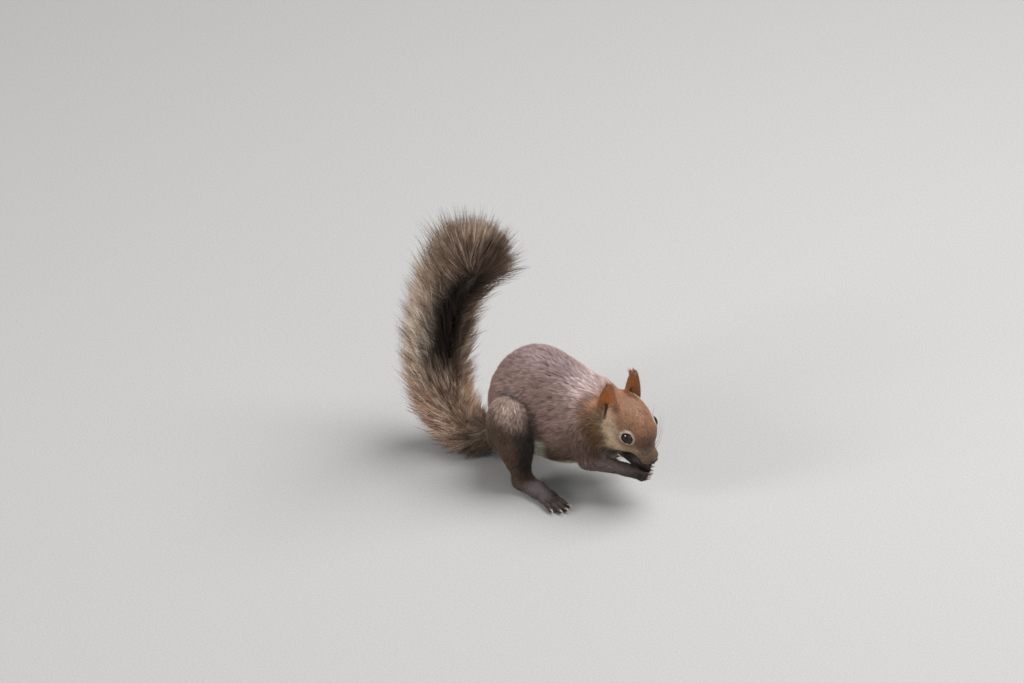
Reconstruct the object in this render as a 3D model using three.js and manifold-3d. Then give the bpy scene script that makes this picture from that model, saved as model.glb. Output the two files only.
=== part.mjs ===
// A red squirrel at life size, squatting on its hind feet with its knees up, its back hunched,
// its head bowed and both hands held together under its mouth. The bushy tail lies on the ground
// behind the rump, climbs and curls forward at the top. The solids follow the tips of the coat.
//
// Millimetres: +X forward, +Y to the animal's left, +Z up, the ground at z = 0.
// The flesh is one distance field of eggs and tapered bones blended together. Each body part is
// that field's surface inside a cell with flat walls, so that neighbours meet across a thin cut.
import * as THREE from 'three';
import { LoftGeometry } from 'three/addons/geometries/LoftGeometry.js';
import { mergeVertices } from 'three/addons/utils/BufferGeometryUtils.js';
import Module from 'manifold-3d';

const wasm = await Module();
wasm.setup();

// ---- Driving dimensions ---------------------------------------------------------------------
const GAP = 0.35; // between neighbouring solids
const SIDES = { right: -1, left: 1 };
const rad = THREE.MathUtils.degToRad;

const HIP = [-36.5, 17, 31]; // limb joints are given for the left side, y outwards
const KNEE = [-27, 29.5, 58];
const ANKLE = [-18.5, 28.5, 11];
const HEEL = [-21, 27, 5];
const INSTEP = [-6, 31, 5.6];
const BALL = [2, 33.5, 4.2];
const SHOULDER = [19, 15.5, 50];

const HEAD = { at: [47, -4, 58.5], yaw: -18, pitch: 26, roll: 12 };
// In the head's own frame, its origin between the ears and eyes:
const NOSE = { at: [27, 0, -10.8], half: [1.9, 2.5, 1.9] };
const EYE = { at: [8.6, 8.8, 2], radius: 4.9 };
const EAR = { at: [-11.5, 10.4, -0.8], height: 31, width: 6.7, cup: 3.4, wall: 1.3, back: 10.5 };
const EAR_TURN = { right: 48, left: 0 }; // degrees outwards: each ear listens its own way
const CLAW = { foot: 1.15, hand: 0.85 }; // half breadth at the root

// The size of a facet on each part.
const FACET = {
  head: 3.8, neck: 5, trunk: 8.3, leg: 5.4, foot: 3.3, upperArm: 4.4, forearm: 3.7, hand: 2.1,
};

// ---- Distance field -------------------------------------------------------------------------
// A field is a function of x, y, z that is negative inside the flesh.
function egg([cx, cy, cz], [rx, ry, rz]) {
  return (x, y, z) => {
    const u = (x - cx) / rx;
    const v = (y - cy) / ry;
    const w = (z - cz) / rz;
    const reach = Math.hypot(u, v, w);
    return (reach * (reach - 1)) / Math.max(Math.hypot(u / rx, v / ry, w / rz), 1e-6);
  };
}

function bone(a, ra, b, rb) {
  const d = b.map((value, i) => value - a[i]);
  const square = d[0] ** 2 + d[1] ** 2 + d[2] ** 2;
  return (x, y, z) => {
    const [px, py, pz] = [x - a[0], y - a[1], z - a[2]];
    const t = THREE.MathUtils.clamp((px * d[0] + py * d[1] + pz * d[2]) / square, 0, 1);
    return Math.hypot(px - t * d[0], py - t * d[1], pz - t * d[2]) - (ra + t * (rb - ra));
  };
}

// Smooth union: neighbours flow into each other over the blend distance.
function blend(distance, ...fields) {
  return (x, y, z) => {
    let d = fields[0](x, y, z);
    for (let i = 1; i < fields.length; i++) {
      const e = fields[i](x, y, z);
      const h = Math.max(distance - Math.abs(d - e), 0) / distance;
      d = Math.min(d, e) - (h * h * distance) / 4;
    }
    return d;
  };
}

const mirrored = ([x, y, z], side) => [x, side * y, z];

const headMatrix = new THREE.Matrix4().compose(
  new THREE.Vector3(...HEAD.at),
  new THREE.Quaternion().setFromEuler(
    new THREE.Euler(rad(HEAD.roll), rad(HEAD.pitch), rad(HEAD.yaw), 'ZYX'),
  ),
  new THREE.Vector3(1, 1, 1),
);
const onHead = (point) => new THREE.Vector3(...point).applyMatrix4(headMatrix).toArray();

function inHead(field) {
  const m = headMatrix.clone().invert().elements;
  return (x, y, z) =>
    field(
      m[0] * x + m[4] * y + m[8] * z + m[12],
      m[1] * x + m[5] * y + m[9] * z + m[13],
      m[2] * x + m[6] * y + m[10] * z + m[14],
    );
}

// ---- Flesh ----------------------------------------------------------------------------------
const trunkField = blend(
  14,
  egg([-31, 0, 45], [25, 25, 33]), // rump
  egg([-20, 0, 62], [28, 24, 30.5]), // loin
  egg([3, 0, 52], [29, 23.5, 30]), // ribs
  egg([-2, 0, 34.8], [25, 21.5, 20.3]), // belly
  egg([20, -0.5, 50], [18, 20, 24]), // shoulders
  egg([24, -1, 37.5], [14.5, 13.5, 14]), // breast
);
const neckField = bone([20, -1, 57], 17, [36, -4, 58.5], 13.5);

const headField = inHead(
  blend(
    6,
    egg([-6, 0, 2], [17, 14, 13.2]), // braincase
    egg([6, 0, 2.5], [14, 12, 11]), // forehead
    blend(5, egg([0, 7.6, -8.5], [13, 8.4, 10.9]), egg([0, -7.6, -8.5], [13, 8.4, 10.9])), // cheeks
    bone([12, 0, -3], 8.8, [22.3, 0, -10], 4.1), // muzzle
    bone([2, 0, -14.3], 9, [20, 0, -16.2], 3.6), // lower jaw
    // lips
    blend(2, egg([21.4, 2.7, -12.8], [4.6, 3.3, 3.5]), egg([21.4, -2.7, -12.8], [4.6, 3.3, 3.5])),
  ),
);

function legField(side) {
  const at = (point) => mirrored(point, side);
  return blend(
    7,
    bone(at(HIP), 13.5, at([-32, 27, 51]), 12.5), // thigh
    bone(at(KNEE), 12, at(ANKLE), 6.8), // shin
    egg(at([-22.5, 29, 36]), [12, 10.5, 20]), // calf
  );
}

// Each toe and finger is a row of short bones from its knuckle to its claw.
const TOES = [
  { root: [2.5, 4.6], splay: 20, length: 8.5, girth: 2.1 },
  { root: [4, 2.3], splay: 9, length: 11.4, girth: 2.2 },
  { root: [4.5, 0], splay: 1, length: 12, girth: 2.2 },
  { root: [3.5, -2.4], splay: -8, length: 11.4, girth: 2.2 },
  { root: [-5, -4.4], splay: -17, length: 9, girth: 2 },
];

function footBones(side) {
  const out = Math.atan2(BALL[1] - HEEL[1], BALL[0] - HEEL[0]);
  return TOES.map(({ root, splay, length, girth }) => {
    const turn = out + rad(splay);
    const start = [
      BALL[0] + root[0] * Math.cos(out) - root[1] * Math.sin(out),
      BALL[1] + root[0] * Math.sin(out) + root[1] * Math.cos(out),
    ];
    const along = (distance, height) =>
      mirrored(
        [start[0] + distance * Math.cos(turn), start[1] + distance * Math.sin(turn), height],
        side,
      );
    return {
      girth,
      points: [along(-3, 3.6), along(length * 0.55, 3.9), along(length, 2)],
      claw: [along(length - 0.6, 2.6), along(length + 2.2, 2.9), along(length + 4.4, 0.9)],
    };
  });
}

function footField(side) {
  const at = (point) => mirrored(point, side);
  const toes = footBones(side).map(({ points, girth }) =>
    blend(
      1,
      bone(points[0], girth + 0.5, points[1], girth),
      bone(points[1], girth, points[2], girth - 0.3),
    ),
  );
  return blend(
    3,
    bone(at(HEEL), 5.6, at(INSTEP), 5.8),
    bone(at(INSTEP), 5.8, at(BALL), 5),
    blend(1.2, ...toes),
  );
}

// The arms differ, because the hands meet under a mouth that is turned to the right.
const ARMS = {
  right: {
    elbow: [24.5, -19.5, 31.5],
    wrist: [49.8, -13.8, 28],
    palm: [54.8, -12.3, 26.4],
    tips: [62.6, -10.3, 24.4],
  },
  left: {
    elbow: [26, 17, 26.5],
    wrist: [49.4, 0.8, 27],
    palm: [55.2, -1.9, 27.8],
    tips: [62.6, -5, 27.4],
  },
};
const FINGERS = [-3.2, -1.1, 1.1, 3.2]; // across the palm

function fingerBones(name) {
  const { wrist, palm, tips } = ARMS[name];
  const reach = new THREE.Vector3(...tips).sub(new THREE.Vector3(...palm));
  const arm = new THREE.Vector3(...palm).sub(new THREE.Vector3(...wrist)).normalize();
  const across = new THREE.Vector3(0, SIDES[name] * 0.35, 0.94).cross(arm).cross(arm).normalize();
  return FINGERS.map((offset) => {
    const start = new THREE.Vector3(...palm).addScaledVector(across, offset);
    const along = (share, lift) =>
      start
        .clone()
        .addScaledVector(reach, share)
        .addScaledVector(across, offset * 0.12 * share)
        .add(new THREE.Vector3(0, 0, lift))
        .toArray();
    return {
      points: [along(0, 0), along(0.6, -1), along(0.95, 0.4)],
      claw: [along(0.9, 0.4), along(1.2, 1.2), along(1.4, 3)],
    };
  });
}

function armField(name) {
  const { elbow, wrist, palm } = ARMS[name];
  const fingers = fingerBones(name).map(({ points }) =>
    blend(1, bone(points[0], 1.7, points[1], 1.5), bone(points[1], 1.5, points[2], 1.2)),
  );
  return blend(
    3,
    bone(elbow, 7, wrist, 4.3),
    bone(wrist, 4.1, palm, 3.6),
    blend(0.8, ...fingers),
  );
}

const upperArmField = (name) =>
  bone(mirrored(SHOULDER, SIDES[name]), 10.5, ARMS[name].elbow, 7.2);

const bodyField = blend(
  6,
  blend(12, trunkField, neckField),
  headField,
  legField(SIDES.right),
  legField(SIDES.left),
  upperArmField('right'),
  upperArmField('left'),
);

// ---- Meshing --------------------------------------------------------------------------------
// Where two corners of a grid square touch only across its diagonal, the one nearer the surface is
// moved outside, so that no two sheets of the surface share an edge. Says if it moved any.
function parted(value, stride, step) {
  let moved = false;
  for (let here = 0; here < value.length - stride[2] - stride[1]; here++)
    for (let axis = 0; axis < 3; axis++) {
      const u = stride[(axis + 1) % 3];
      const v = stride[(axis + 2) % 3];
      const straight = [here, here + u + v];
      const slanted = [here + u, here + v];
      for (const [inside, outside] of [[straight, slanted], [slanted, straight]])
        if (inside.every((at) => value[at] < 0) && outside.every((at) => value[at] >= 0)) {
          value[inside[value[inside[0]] > value[inside[1]] ? 0 : 1]] = step / 1000;
          moved = true;
        }
    }
  return moved;
}

// Surface nets: one point in each grid cell that the surface crosses, pulled onto the surface, and
// a square round each grid edge that it crosses. The outermost layer counts as outside.
function surfaceOf(field, low, high, step, offset = 0) {
  const n = low.map((value, i) => Math.ceil((high[i] - value) / step) + 1);
  const index = (i, j, k) => (k * n[1] + j) * n[0] + i;
  const value = new Float32Array(n[0] * n[1] * n[2]).fill(step);
  for (let k = 1; k < n[2] - 1; k++)
    for (let j = 1; j < n[1] - 1; j++)
      for (let i = 1; i < n[0] - 1; i++)
        value[index(i, j, k)] =
          field(low[0] + i * step, low[1] + j * step, low[2] + k * step) - offset;
  const stride = [1, n[0], n[0] * n[1]];
  while (parted(value, stride, step));

  const corners = [0, 1, 2, 3, 4, 5, 6, 7].map((c) => [c & 1, (c >> 1) & 1, c >> 2]);
  const edges = corners.flatMap((c, a) =>
    [1, 2, 4].filter((bit) => !(a & bit)).map((bit) => [a, a | bit]),
  );
  const points = [];
  const pointOf = new Int32Array(value.length).fill(-1);
  for (let k = 0; k < n[2] - 1; k++)
    for (let j = 0; j < n[1] - 1; j++)
      for (let i = 0; i < n[0] - 1; i++) {
        const held = corners.map(([a, b, c]) => value[index(i + a, j + b, k + c)]);
        const sum = [0, 0, 0];
        let crossings = 0;
        for (const [a, b] of edges) {
          if (held[a] < 0 === held[b] < 0) continue;
          const t = held[a] / (held[a] - held[b]);
          for (let axis = 0; axis < 3; axis++)
            sum[axis] += corners[a][axis] + t * (corners[b][axis] - corners[a][axis]);
          crossings++;
        }
        if (!crossings) continue;
        pointOf[index(i, j, k)] = points.length / 3;
        points.push(
          ...[i, j, k].map((cell, axis) => low[axis] + (cell + sum[axis] / crossings) * step),
        );
      }

  const h = step / 8;
  for (let p = 0; p < points.length; p += 3) {
    const [x, y, z] = points.slice(p, p + 3);
    const inside = [x, y, z].every(
      (value, axis) => value > low[axis] + 1.5 * step && value < high[axis] - 1.5 * step,
    );
    if (!inside) continue;
    const slope = [
      field(x + h, y, z) - field(x - h, y, z),
      field(x, y + h, z) - field(x, y - h, z),
      field(x, y, z + h) - field(x, y, z - h),
    ].map((difference) => difference / (2 * h));
    const pull = (field(x, y, z) - offset) / Math.max(slope.reduce((s, g) => s + g * g, 0), 0.25);
    slope.forEach((g, axis) => {
      points[p + axis] -= THREE.MathUtils.clamp(pull * g, -0.45 * step, 0.45 * step);
    });
  }

  const triangles = [];
  for (let k = 0; k < n[2] - 1; k++)
    for (let j = 0; j < n[1] - 1; j++)
      for (let i = 0; i < n[0] - 1; i++)
        for (let axis = 0; axis < 3; axis++) {
          const here = index(i, j, k);
          const solid = value[here] < 0;
          if (solid === value[here + stride[axis]] < 0) continue;
          const u = stride[(axis + 1) % 3];
          const v = stride[(axis + 2) % 3];
          const ring = [here - u - v, here - v, here, here - u].map((cell) => pointOf[cell]);
          if (!solid) ring.reverse();
          triangles.push(ring[0], ring[1], ring[2], ring[0], ring[2], ring[3]);
        }
  return new wasm.Manifold(
    new wasm.Mesh({
      numProp: 3,
      vertProperties: new Float32Array(points),
      triVerts: new Uint32Array(triangles),
    }),
  );
}

function solidOf(geometry) {
  const bare = new THREE.BufferGeometry();
  bare.setAttribute('position', geometry.getAttribute('position'));
  bare.setIndex(geometry.getIndex());
  const merged = mergeVertices(bare, 1e-4);
  return new wasm.Manifold(
    new wasm.Mesh({
      numProp: 3,
      vertProperties: new Float32Array(merged.attributes.position.array),
      triVerts: new Uint32Array(merged.index.array),
    }),
  );
}

function geometryOf(solid) {
  const { vertProperties, triVerts } = solid.getMesh();
  const geometry = new THREE.BufferGeometry();
  geometry.setAttribute('position', new THREE.BufferAttribute(new Float32Array(vertProperties), 3));
  geometry.setIndex(new THREE.BufferAttribute(new Uint32Array(triVerts), 1));
  geometry.computeVertexNormals();
  return geometry;
}

// A cell is the space behind all of its walls, each a point and a direction pointing out of it.
function cell(walls, grow = 0) {
  const room = solidOf(new THREE.BoxGeometry(600, 600, 600));
  return walls.reduce((space, [point, out]) => {
    const wall = new THREE.Vector3(...out).normalize();
    const reach = wall.dot(new THREE.Vector3(...point)) + grow;
    return space.trimByPlane(wall.clone().negate().toArray(), -reach);
  }, room);
}

function largestPiece(solid) {
  return solid.decompose().sort((a, b) => b.volume() - a.volume())[0];
}

// ---- Cells ----------------------------------------------------------------------------------
// A wall is a point on it and the direction that leads out of the cell.
const facing = ([point, out]) => [point, out.map((value) => -value)]; // the same wall, from its far side
const headWay = (way) => onHead(way).map((value, i) => value - HEAD.at[i]);

const nape = [onHead([-15, 0, 0]), headWay([0.94, 0, 0.34])];
const throat = [onHead([0, 0, -16]), headWay([0, 0, -1])];
const withers = [[27, -2, 62], [0.92, -0.12, 0.35]];
const walls = {
  head: [facing(nape), facing(withers), throat],
  neck: [nape, facing(withers), throat],
  headAndNeck: [facing(withers), throat],
};
for (const [name, side] of Object.entries(SIDES)) {
  const groin = [[0, side * 18.5, 0], [0, -side, 0.1]];
  const flank = [[-9, side * 20, 0], [1, side * -0.8, 0]];
  const knee = [[-31, 0, 60], [1, 0, -0.12]];
  const kneeTop = [[0, 0, 77], [0, 0, 1]];
  const ankle = [[0, 0, 13], [0, 0, -1]];
  walls[`thigh_${name}`] = [groin, knee, kneeTop, ankle];
  walls[`shank_${name}`] = [groin, facing(knee), kneeTop, flank, ankle];
  walls[`foot_${name}`] = [[[0, side * 14, 0], [0, -side, 0]], facing(ankle)];
  const { elbow, wrist } = ARMS[name];
  const armWay = wrist.map((value, i) => value - elbow[i]);
  const elbowWall = [elbow.map((value, i) => value + 0.2 * armWay[i]), armWay];
  walls[`upper_arm_${name}`] = [
    [[0, side * 13.5, 0], [0, -side, 0.08]],
    [[10, 0, 30], [-1, 0, 0.15]],
    [[0, 0, 58], [0, 0, 1]],
    elbowWall,
    facing(throat),
  ];
  walls[`forearm_${name}`] = [facing(elbowWall), [wrist, armWay]];
  walls[`hand_${name}`] = [facing([wrist, armWay])];
}

// ---- Materials ------------------------------------------------------------------------------
const coat = (color) => new THREE.MeshStandardMaterial({ color, roughness: 0.85, metalness: 0 });
const MATERIALS = {
  body_fur: coat(0x6d5048),
  face_fur: coat(0x8a5c40),
  ear_fur: coat(0xa05a2c),
  leg_fur: coat(0x5a4a42),
  foot_fur: coat(0x473b38),
  tail_fur: coat(0x584134),
  nose_skin: new THREE.MeshStandardMaterial({ color: 0x3a2a28, roughness: 0.6, metalness: 0 }),
  eye: new THREE.MeshStandardMaterial({ color: 0x0b0908, roughness: 0.05, metalness: 0 }),
  claw: new THREE.MeshStandardMaterial({ color: 0x9a8f86, roughness: 0.35, metalness: 0 }),
};

const squirrel = new THREE.Group();
function place(name, solid, material) {
  const mesh = new THREE.Mesh(geometryOf(largestPiece(solid)), MATERIALS[material]);
  mesh.name = name;
  squirrel.add(mesh);
}
const inCell = (solid, name) => solid.intersect(cell(walls[name], -GAP / 2));
const grounded = (solid) => solid.trimByPlane([0, 0, 1], 0);

// ---- Head -----------------------------------------------------------------------------------
const headBox = [[22, -34, 28], [80, 28, 92]];
const neckBox = [[10, -34, 34], [52, 32, 92]];
const headSurface = (offset) => surfaceOf(bodyField, ...headBox, FACET.head, offset);

const eyeball = (side, radius) =>
  solidOf(new THREE.SphereGeometry(radius, 12, 8)).translate(onHead(mirrored(EYE.at, side)));
const nosePad = (grow) =>
  solidOf(
    new THREE.SphereGeometry(1, 8, 6)
      .scale(...NOSE.half.map((value) => value + grow))
      .translate(...NOSE.at)
      .applyMatrix4(headMatrix),
  );

let head = inCell(headSurface(0), 'head').subtract(nosePad(GAP));
for (const side of Object.values(SIDES)) head = head.subtract(eyeball(side, EYE.radius + GAP));
place('head', head, 'face_fur');
place('neck', inCell(surfaceOf(bodyField, ...neckBox, FACET.neck), 'neck'), 'body_fur');
place('nose', nosePad(0), 'nose_skin');
for (const [name, side] of Object.entries(SIDES)) place(`eye_${name}`, eyeball(side, EYE.radius), 'eye');

// The ear is a pointed leaf with a crescent section, open to the front and side.
function earGeometry(name) {
  const side = SIDES[name];
  const RINGS = 5;
  const ARC = 5; // points across each face of the crescent
  const rings = Array.from({ length: RINGS + 1 }, (_, r) => {
    const t = r / RINGS;
    const width = EAR.width * (1.08 - 0.12 * t) * Math.pow(1 - t ** 2.3, 0.62) + 1;
    const cup = EAR.cup * (1 - 0.75 * t) + 0.6;
    const wall = EAR.wall * (1 - 0.25 * t);
    const arc = (half, depth) =>
      Array.from({ length: ARC }, (_, i) => {
        const angle = rad(-78 + (156 * i) / (ARC - 1));
        return new THREE.Vector3(
          0.35 * cup - depth * Math.cos(angle), half * Math.sin(angle), EAR.height * t,
        );
      });
    return [...arc(width, cup), ...arc(width - 0.75 * wall, cup - wall).reverse()];
  });
  if (side < 0) rings.forEach((ring) => ring.forEach((point) => (point.y *= -1)));
  else rings.forEach((ring) => ring.reverse());
  const stance = new THREE.Euler(0, rad(-EAR.back), rad(side * EAR_TURN[name]), 'YXZ');
  return new LoftGeometry(rings, { capStart: true, capEnd: true })
    .applyMatrix4(
      new THREE.Matrix4().makeRotationFromEuler(stance).setPosition(...mirrored(EAR.at, side)),
    )
    .applyMatrix4(headMatrix);
}

const headClear = headSurface(GAP);
for (const name of Object.keys(SIDES))
  place(`ear_${name}`, solidOf(earGeometry(name)).subtract(headClear), 'ear_fur');

// ---- Trunk and limbs ------------------------------------------------------------------------
// A claw is a curved spike with a five-sided section.
function clawSolid(points, radius) {
  const STEPS = 3;
  const SECTION = 5;
  const curve = new THREE.CatmullRomCurve3(points.map((point) => new THREE.Vector3(...point)));
  const frames = curve.computeFrenetFrames(STEPS, false);
  const rings = Array.from({ length: STEPS + 1 }, (_, i) =>
    Array.from({ length: SECTION }, (_, j) => {
      const angle = (j * 2 * Math.PI) / SECTION;
      const size = radius * (1 - 0.82 * (i / STEPS));
      return curve
        .getPointAt(i / STEPS)
        .addScaledVector(frames.normals[i], size * Math.cos(angle))
        .addScaledVector(frames.binormals[i], size * 0.75 * Math.sin(angle));
    }),
  );
  return solidOf(new LoftGeometry(rings, { capStart: true, capEnd: true }));
}

const trunkBox = [[-66, -42, 4], [48, 42, 104]];
let trunk = surfaceOf(bodyField, ...trunkBox, FACET.trunk).subtract(cell(walls.headAndNeck, GAP / 2));

for (const [name, side] of Object.entries(SIDES)) {
  // A meshing box whose y range is given outwards from the middle of the animal.
  const outward = ([low, high], y, [bottom, top]) => {
    const across = side > 0 ? y : [-y[1], -y[0]];
    return [[low, across[0], bottom], [high, across[1], top]];
  };
  const addClaws = (part, bones, clear) =>
    bones.forEach(({ claw }, i) => {
      const spike = grounded(clawSolid(claw, CLAW[part])).subtract(clear);
      place(`claw_${part}_${name}_${i + 1}`, spike, 'claw');
    });

  const leg = blend(5, bodyField, footField(side));
  for (const part of ['thigh', 'shank']) {
    const shape = surfaceOf(leg, ...outward([-62, 6], [12, 50], [6, 84]), FACET.leg);
    place(`${part}_${name}`, inCell(shape, `${part}_${name}`), 'leg_fur');
    trunk = trunk.subtract(cell(walls[`${part}_${name}`], GAP / 2));
  }
  const footBox = outward([-40, 30], [10, 52], [-8, 20]);
  const foot = (offset) => surfaceOf(leg, ...footBox, FACET.foot, offset);
  place(`foot_${name}`, grounded(inCell(foot(0), `foot_${name}`)), 'foot_fur');
  addClaws('foot', footBones(side), foot(GAP));

  const upper = surfaceOf(
    blend(4, bodyField, armField(name)), ...outward([4, 44], [6, 38], [12, 66]), FACET.upperArm,
  );
  place(`upper_arm_${name}`, inCell(upper, `upper_arm_${name}`), 'leg_fur');
  trunk = trunk.subtract(cell(walls[`upper_arm_${name}`], GAP / 2));

  const arm = blend(3, upperArmField(name), armField(name));
  const forearm = (offset) => surfaceOf(arm, [22, -32, 12], [64, 30, 44], FACET.forearm, offset);
  place(`forearm_${name}`, inCell(forearm(0), `forearm_${name}`).subtract(headClear), 'leg_fur');
  trunk = trunk.subtract(forearm(GAP).intersect(cell(walls[`forearm_${name}`], GAP / 2)));
  const hand = (offset) => surfaceOf(arm, [44, -24, 14], [74, 12, 38], FACET.hand, offset);
  place(`hand_${name}`, inCell(hand(0), `hand_${name}`).subtract(headClear), 'foot_fur');
  addClaws('hand', fingerBones(name), hand(GAP).add(headClear));
}
place('trunk', trunk, 'body_fur');

// ---- Tail -----------------------------------------------------------------------------------
// The brush of hair round the tail's core: where its middle runs, and half its breadth there.
const BRUSH = [
  { at: [-44, 0, 25], half: 12 },
  { at: [-60, 0, 14.5], half: 17 },
  { at: [-74, 0, 12], half: 21 },
  { at: [-87, 0, 26], half: 24 },
  { at: [-94, -1, 46], half: 26 },
  { at: [-95, -1, 71], half: 27 },
  { at: [-92, -2, 97], half: 28.5 },
  { at: [-85, -3, 121.5], half: 30.5 },
  { at: [-74, -5.5, 144], half: 31 },
  { at: [-62.5, -8, 160], half: 30.5 },
  { at: [-53.5, -11.5, 168.5], half: 24 },
  { at: [-47.5, -14.5, 173], half: 13 },
];
const BRUSH_FLAT = 0.7; // thickness over breadth
const BRUSH_TWIST = -62; // degrees about its length, reached at this share of it
const TWIST_DONE = 0.45;
const TAIL_PARTS = {
  tail_base: [0, 0.27],
  tail_middle: [0.27, 0.52],
  tail_upper: [0.52, 0.77],
  tail_tip: [0.77, 1],
};

const brushLine = new THREE.CatmullRomCurve3(BRUSH.map(({ at }) => new THREE.Vector3(...at)));
const brushLength = brushLine.getLength();
const halfCurve = new THREE.CatmullRomCurve3(
  BRUSH.map(({ half }, i) => new THREE.Vector3(half, i, 0)),
);

function brushRing(share, sides) {
  const t = brushLine.getUtoTmapping(share);
  const centre = brushLine.getPoint(t);
  const along = brushLine.getTangent(t);
  const half = halfCurve.getPoint(t).x;
  const twist = rad(BRUSH_TWIST * THREE.MathUtils.smoothstep(share, 0, TWIST_DONE));
  const across = new THREE.Vector3(0, 1, 0).projectOnPlane(along).normalize();
  const through = new THREE.Vector3().crossVectors(along, across);
  return Array.from({ length: sides }, (_, j) => {
    const angle = (2 * Math.PI * j) / sides;
    const reach = half / Math.hypot(Math.cos(angle - twist), Math.sin(angle - twist) / BRUSH_FLAT);
    return centre
      .clone()
      .addScaledVector(across, reach * Math.cos(angle))
      .addScaledVector(through, reach * Math.sin(angle));
  });
}

const trunkClear = surfaceOf(bodyField, ...trunkBox, FACET.trunk, GAP);
for (const [name, [from, to]] of Object.entries(TAIL_PARTS)) {
  const RINGS = 5;
  const SECTION = 14;
  const cut = GAP / 2 / brushLength;
  const start = from + cut;
  const end = to - (to < 1 ? cut : 0);
  const rings = Array.from({ length: RINGS + 1 }, (_, i) =>
    brushRing(THREE.MathUtils.lerp(start, end, i / RINGS), SECTION),
  );
  const brush = grounded(solidOf(new LoftGeometry(rings, { capStart: true, capEnd: true })));
  place(name, name === 'tail_base' ? brush.subtract(trunkClear) : brush, 'tail_fur');
}

// The frame's origin is under the middle of the model, on the ground.
const box = new THREE.Box3().setFromObject(squirrel);
const middle = box.getCenter(new THREE.Vector3());
squirrel.position.set(-middle.x, -middle.y, -box.min.z);

export default squirrel;
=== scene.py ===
import math

import bpy
import numpy as np
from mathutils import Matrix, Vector
from mathutils.kdtree import KDTree


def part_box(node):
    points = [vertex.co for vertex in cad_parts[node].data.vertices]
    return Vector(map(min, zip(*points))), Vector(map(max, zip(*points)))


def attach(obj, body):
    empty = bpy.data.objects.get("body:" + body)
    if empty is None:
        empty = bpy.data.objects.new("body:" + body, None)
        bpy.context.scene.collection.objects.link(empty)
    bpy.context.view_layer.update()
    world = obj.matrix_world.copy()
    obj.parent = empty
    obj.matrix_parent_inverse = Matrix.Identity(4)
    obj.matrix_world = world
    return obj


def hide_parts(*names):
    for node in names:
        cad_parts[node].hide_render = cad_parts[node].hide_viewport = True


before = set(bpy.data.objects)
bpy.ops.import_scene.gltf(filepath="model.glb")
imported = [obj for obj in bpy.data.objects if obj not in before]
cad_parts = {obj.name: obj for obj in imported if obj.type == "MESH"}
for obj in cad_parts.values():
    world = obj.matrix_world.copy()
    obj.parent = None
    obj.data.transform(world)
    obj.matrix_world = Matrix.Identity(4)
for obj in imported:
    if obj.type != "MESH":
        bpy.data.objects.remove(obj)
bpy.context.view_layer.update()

# ---- Camera -----------------------------------------------------------------------------------
# A long lens looks down on the right side of the animal from a standing person's height. Nothing
# is shifted or out of focus.
AZIMUTH, ELEVATION, DISTANCE = math.radians(28), math.radians(32), 6.0
SPAN = 1024 / 1550  # metres from side to side of the view, at the animal
SENSOR = 36.0  # millimetres across
eye_low, eye_high_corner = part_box("eye_right")
AIM = (Vector(eye_low) + Vector(eye_high_corner)) / 2 + Vector((-0.1052, 0.0387, 0.0190))

camera = bpy.data.objects.new("camera", bpy.data.cameras.new("camera"))
bpy.context.collection.objects.link(camera)
camera.data.sensor_width = SENSOR
camera.data.lens = DISTANCE / SPAN * SENSOR
camera.data.clip_start, camera.data.clip_end = 0.5, 80
toward_camera = Vector((
    math.sin(AZIMUTH) * math.cos(ELEVATION),
    -math.cos(AZIMUTH) * math.cos(ELEVATION),
    math.sin(ELEVATION),
))
camera.location = AIM + DISTANCE * toward_camera
camera.rotation_euler = (-toward_camera).to_track_quat("-Z", "Y").to_euler()
bpy.context.scene.camera = camera


# ---- Studio -----------------------------------------------------------------------------------
# A pale mineral floor under a broad soft light from above, as under an open sky, with a small
# light on the animal's right that its eye catches and a broad one from the camera's side.
class Shade:
    """An output of a material's node. Arithmetic on it adds Math nodes."""

    def __init__(self, tree, socket=None):
        self.tree = tree
        self.socket = socket

    def node(self, kind, settings, sockets, output=0):
        """A node of a kind: its settings come first, then what its sockets hold or are linked to."""
        made = self.tree.nodes.new(kind)
        for name, value in settings.items():
            setattr(made, name, value)
        for name, value in sockets.items():
            if isinstance(value, Shade):
                self.tree.links.new(value.socket, made.inputs[name])
            else:
                made.inputs[name].default_value = value
        return Shade(self.tree, made.outputs[output])

    def math(self, operation, *values):
        return self.node("ShaderNodeMath", {"operation": operation}, dict(enumerate(values)))

    def __add__(self, other):
        return self.math("ADD", self, other)

    def __sub__(self, other):
        return self.math("SUBTRACT", self, other)

    def __mul__(self, other):
        return self.math("MULTIPLY", self, other)

    def __rsub__(self, other):
        return self.math("SUBTRACT", other, self)

    __radd__, __rmul__ = __add__, __mul__

    def step(self, low, high):
        """0 below low, 1 above high and smooth between them."""
        sockets = {0: self, 1: low, 2: high}
        return self.node("ShaderNodeMapRange", {"interpolation_type": "SMOOTHSTEP"}, sockets)

    def mark(self, name):
        """What the mesh's vertices hold under this name."""
        return self.node("ShaderNodeAttribute", {"attribute_name": name}, {}, 2)

    def noise(self, scale, detail, stretch=(1, 1, 1)):
        """Cloudy noise from 0 to 1 on the object's own coordinates, which are metres."""
        place = self.node("ShaderNodeTexCoord", {}, {}, 3)
        place = self.node("ShaderNodeMapping", {}, {"Vector": place, "Scale": stretch})
        return self.node("ShaderNodeTexNoise", {}, {"Vector": place, "Scale": scale, "Detail": detail})

    def blend(self, first, second, share, way="MIX"):
        """Two colours, each three numbers or a Shade, mixed by a share from 0 to 1."""
        colours = [c if isinstance(c, Shade) else (*c, 1) for c in (first, second)]
        settings = {"data_type": "RGBA", "blend_type": way}
        return self.node("ShaderNodeMix", settings, {0: share, 6: colours[0], 7: colours[1]}, 2)


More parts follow.
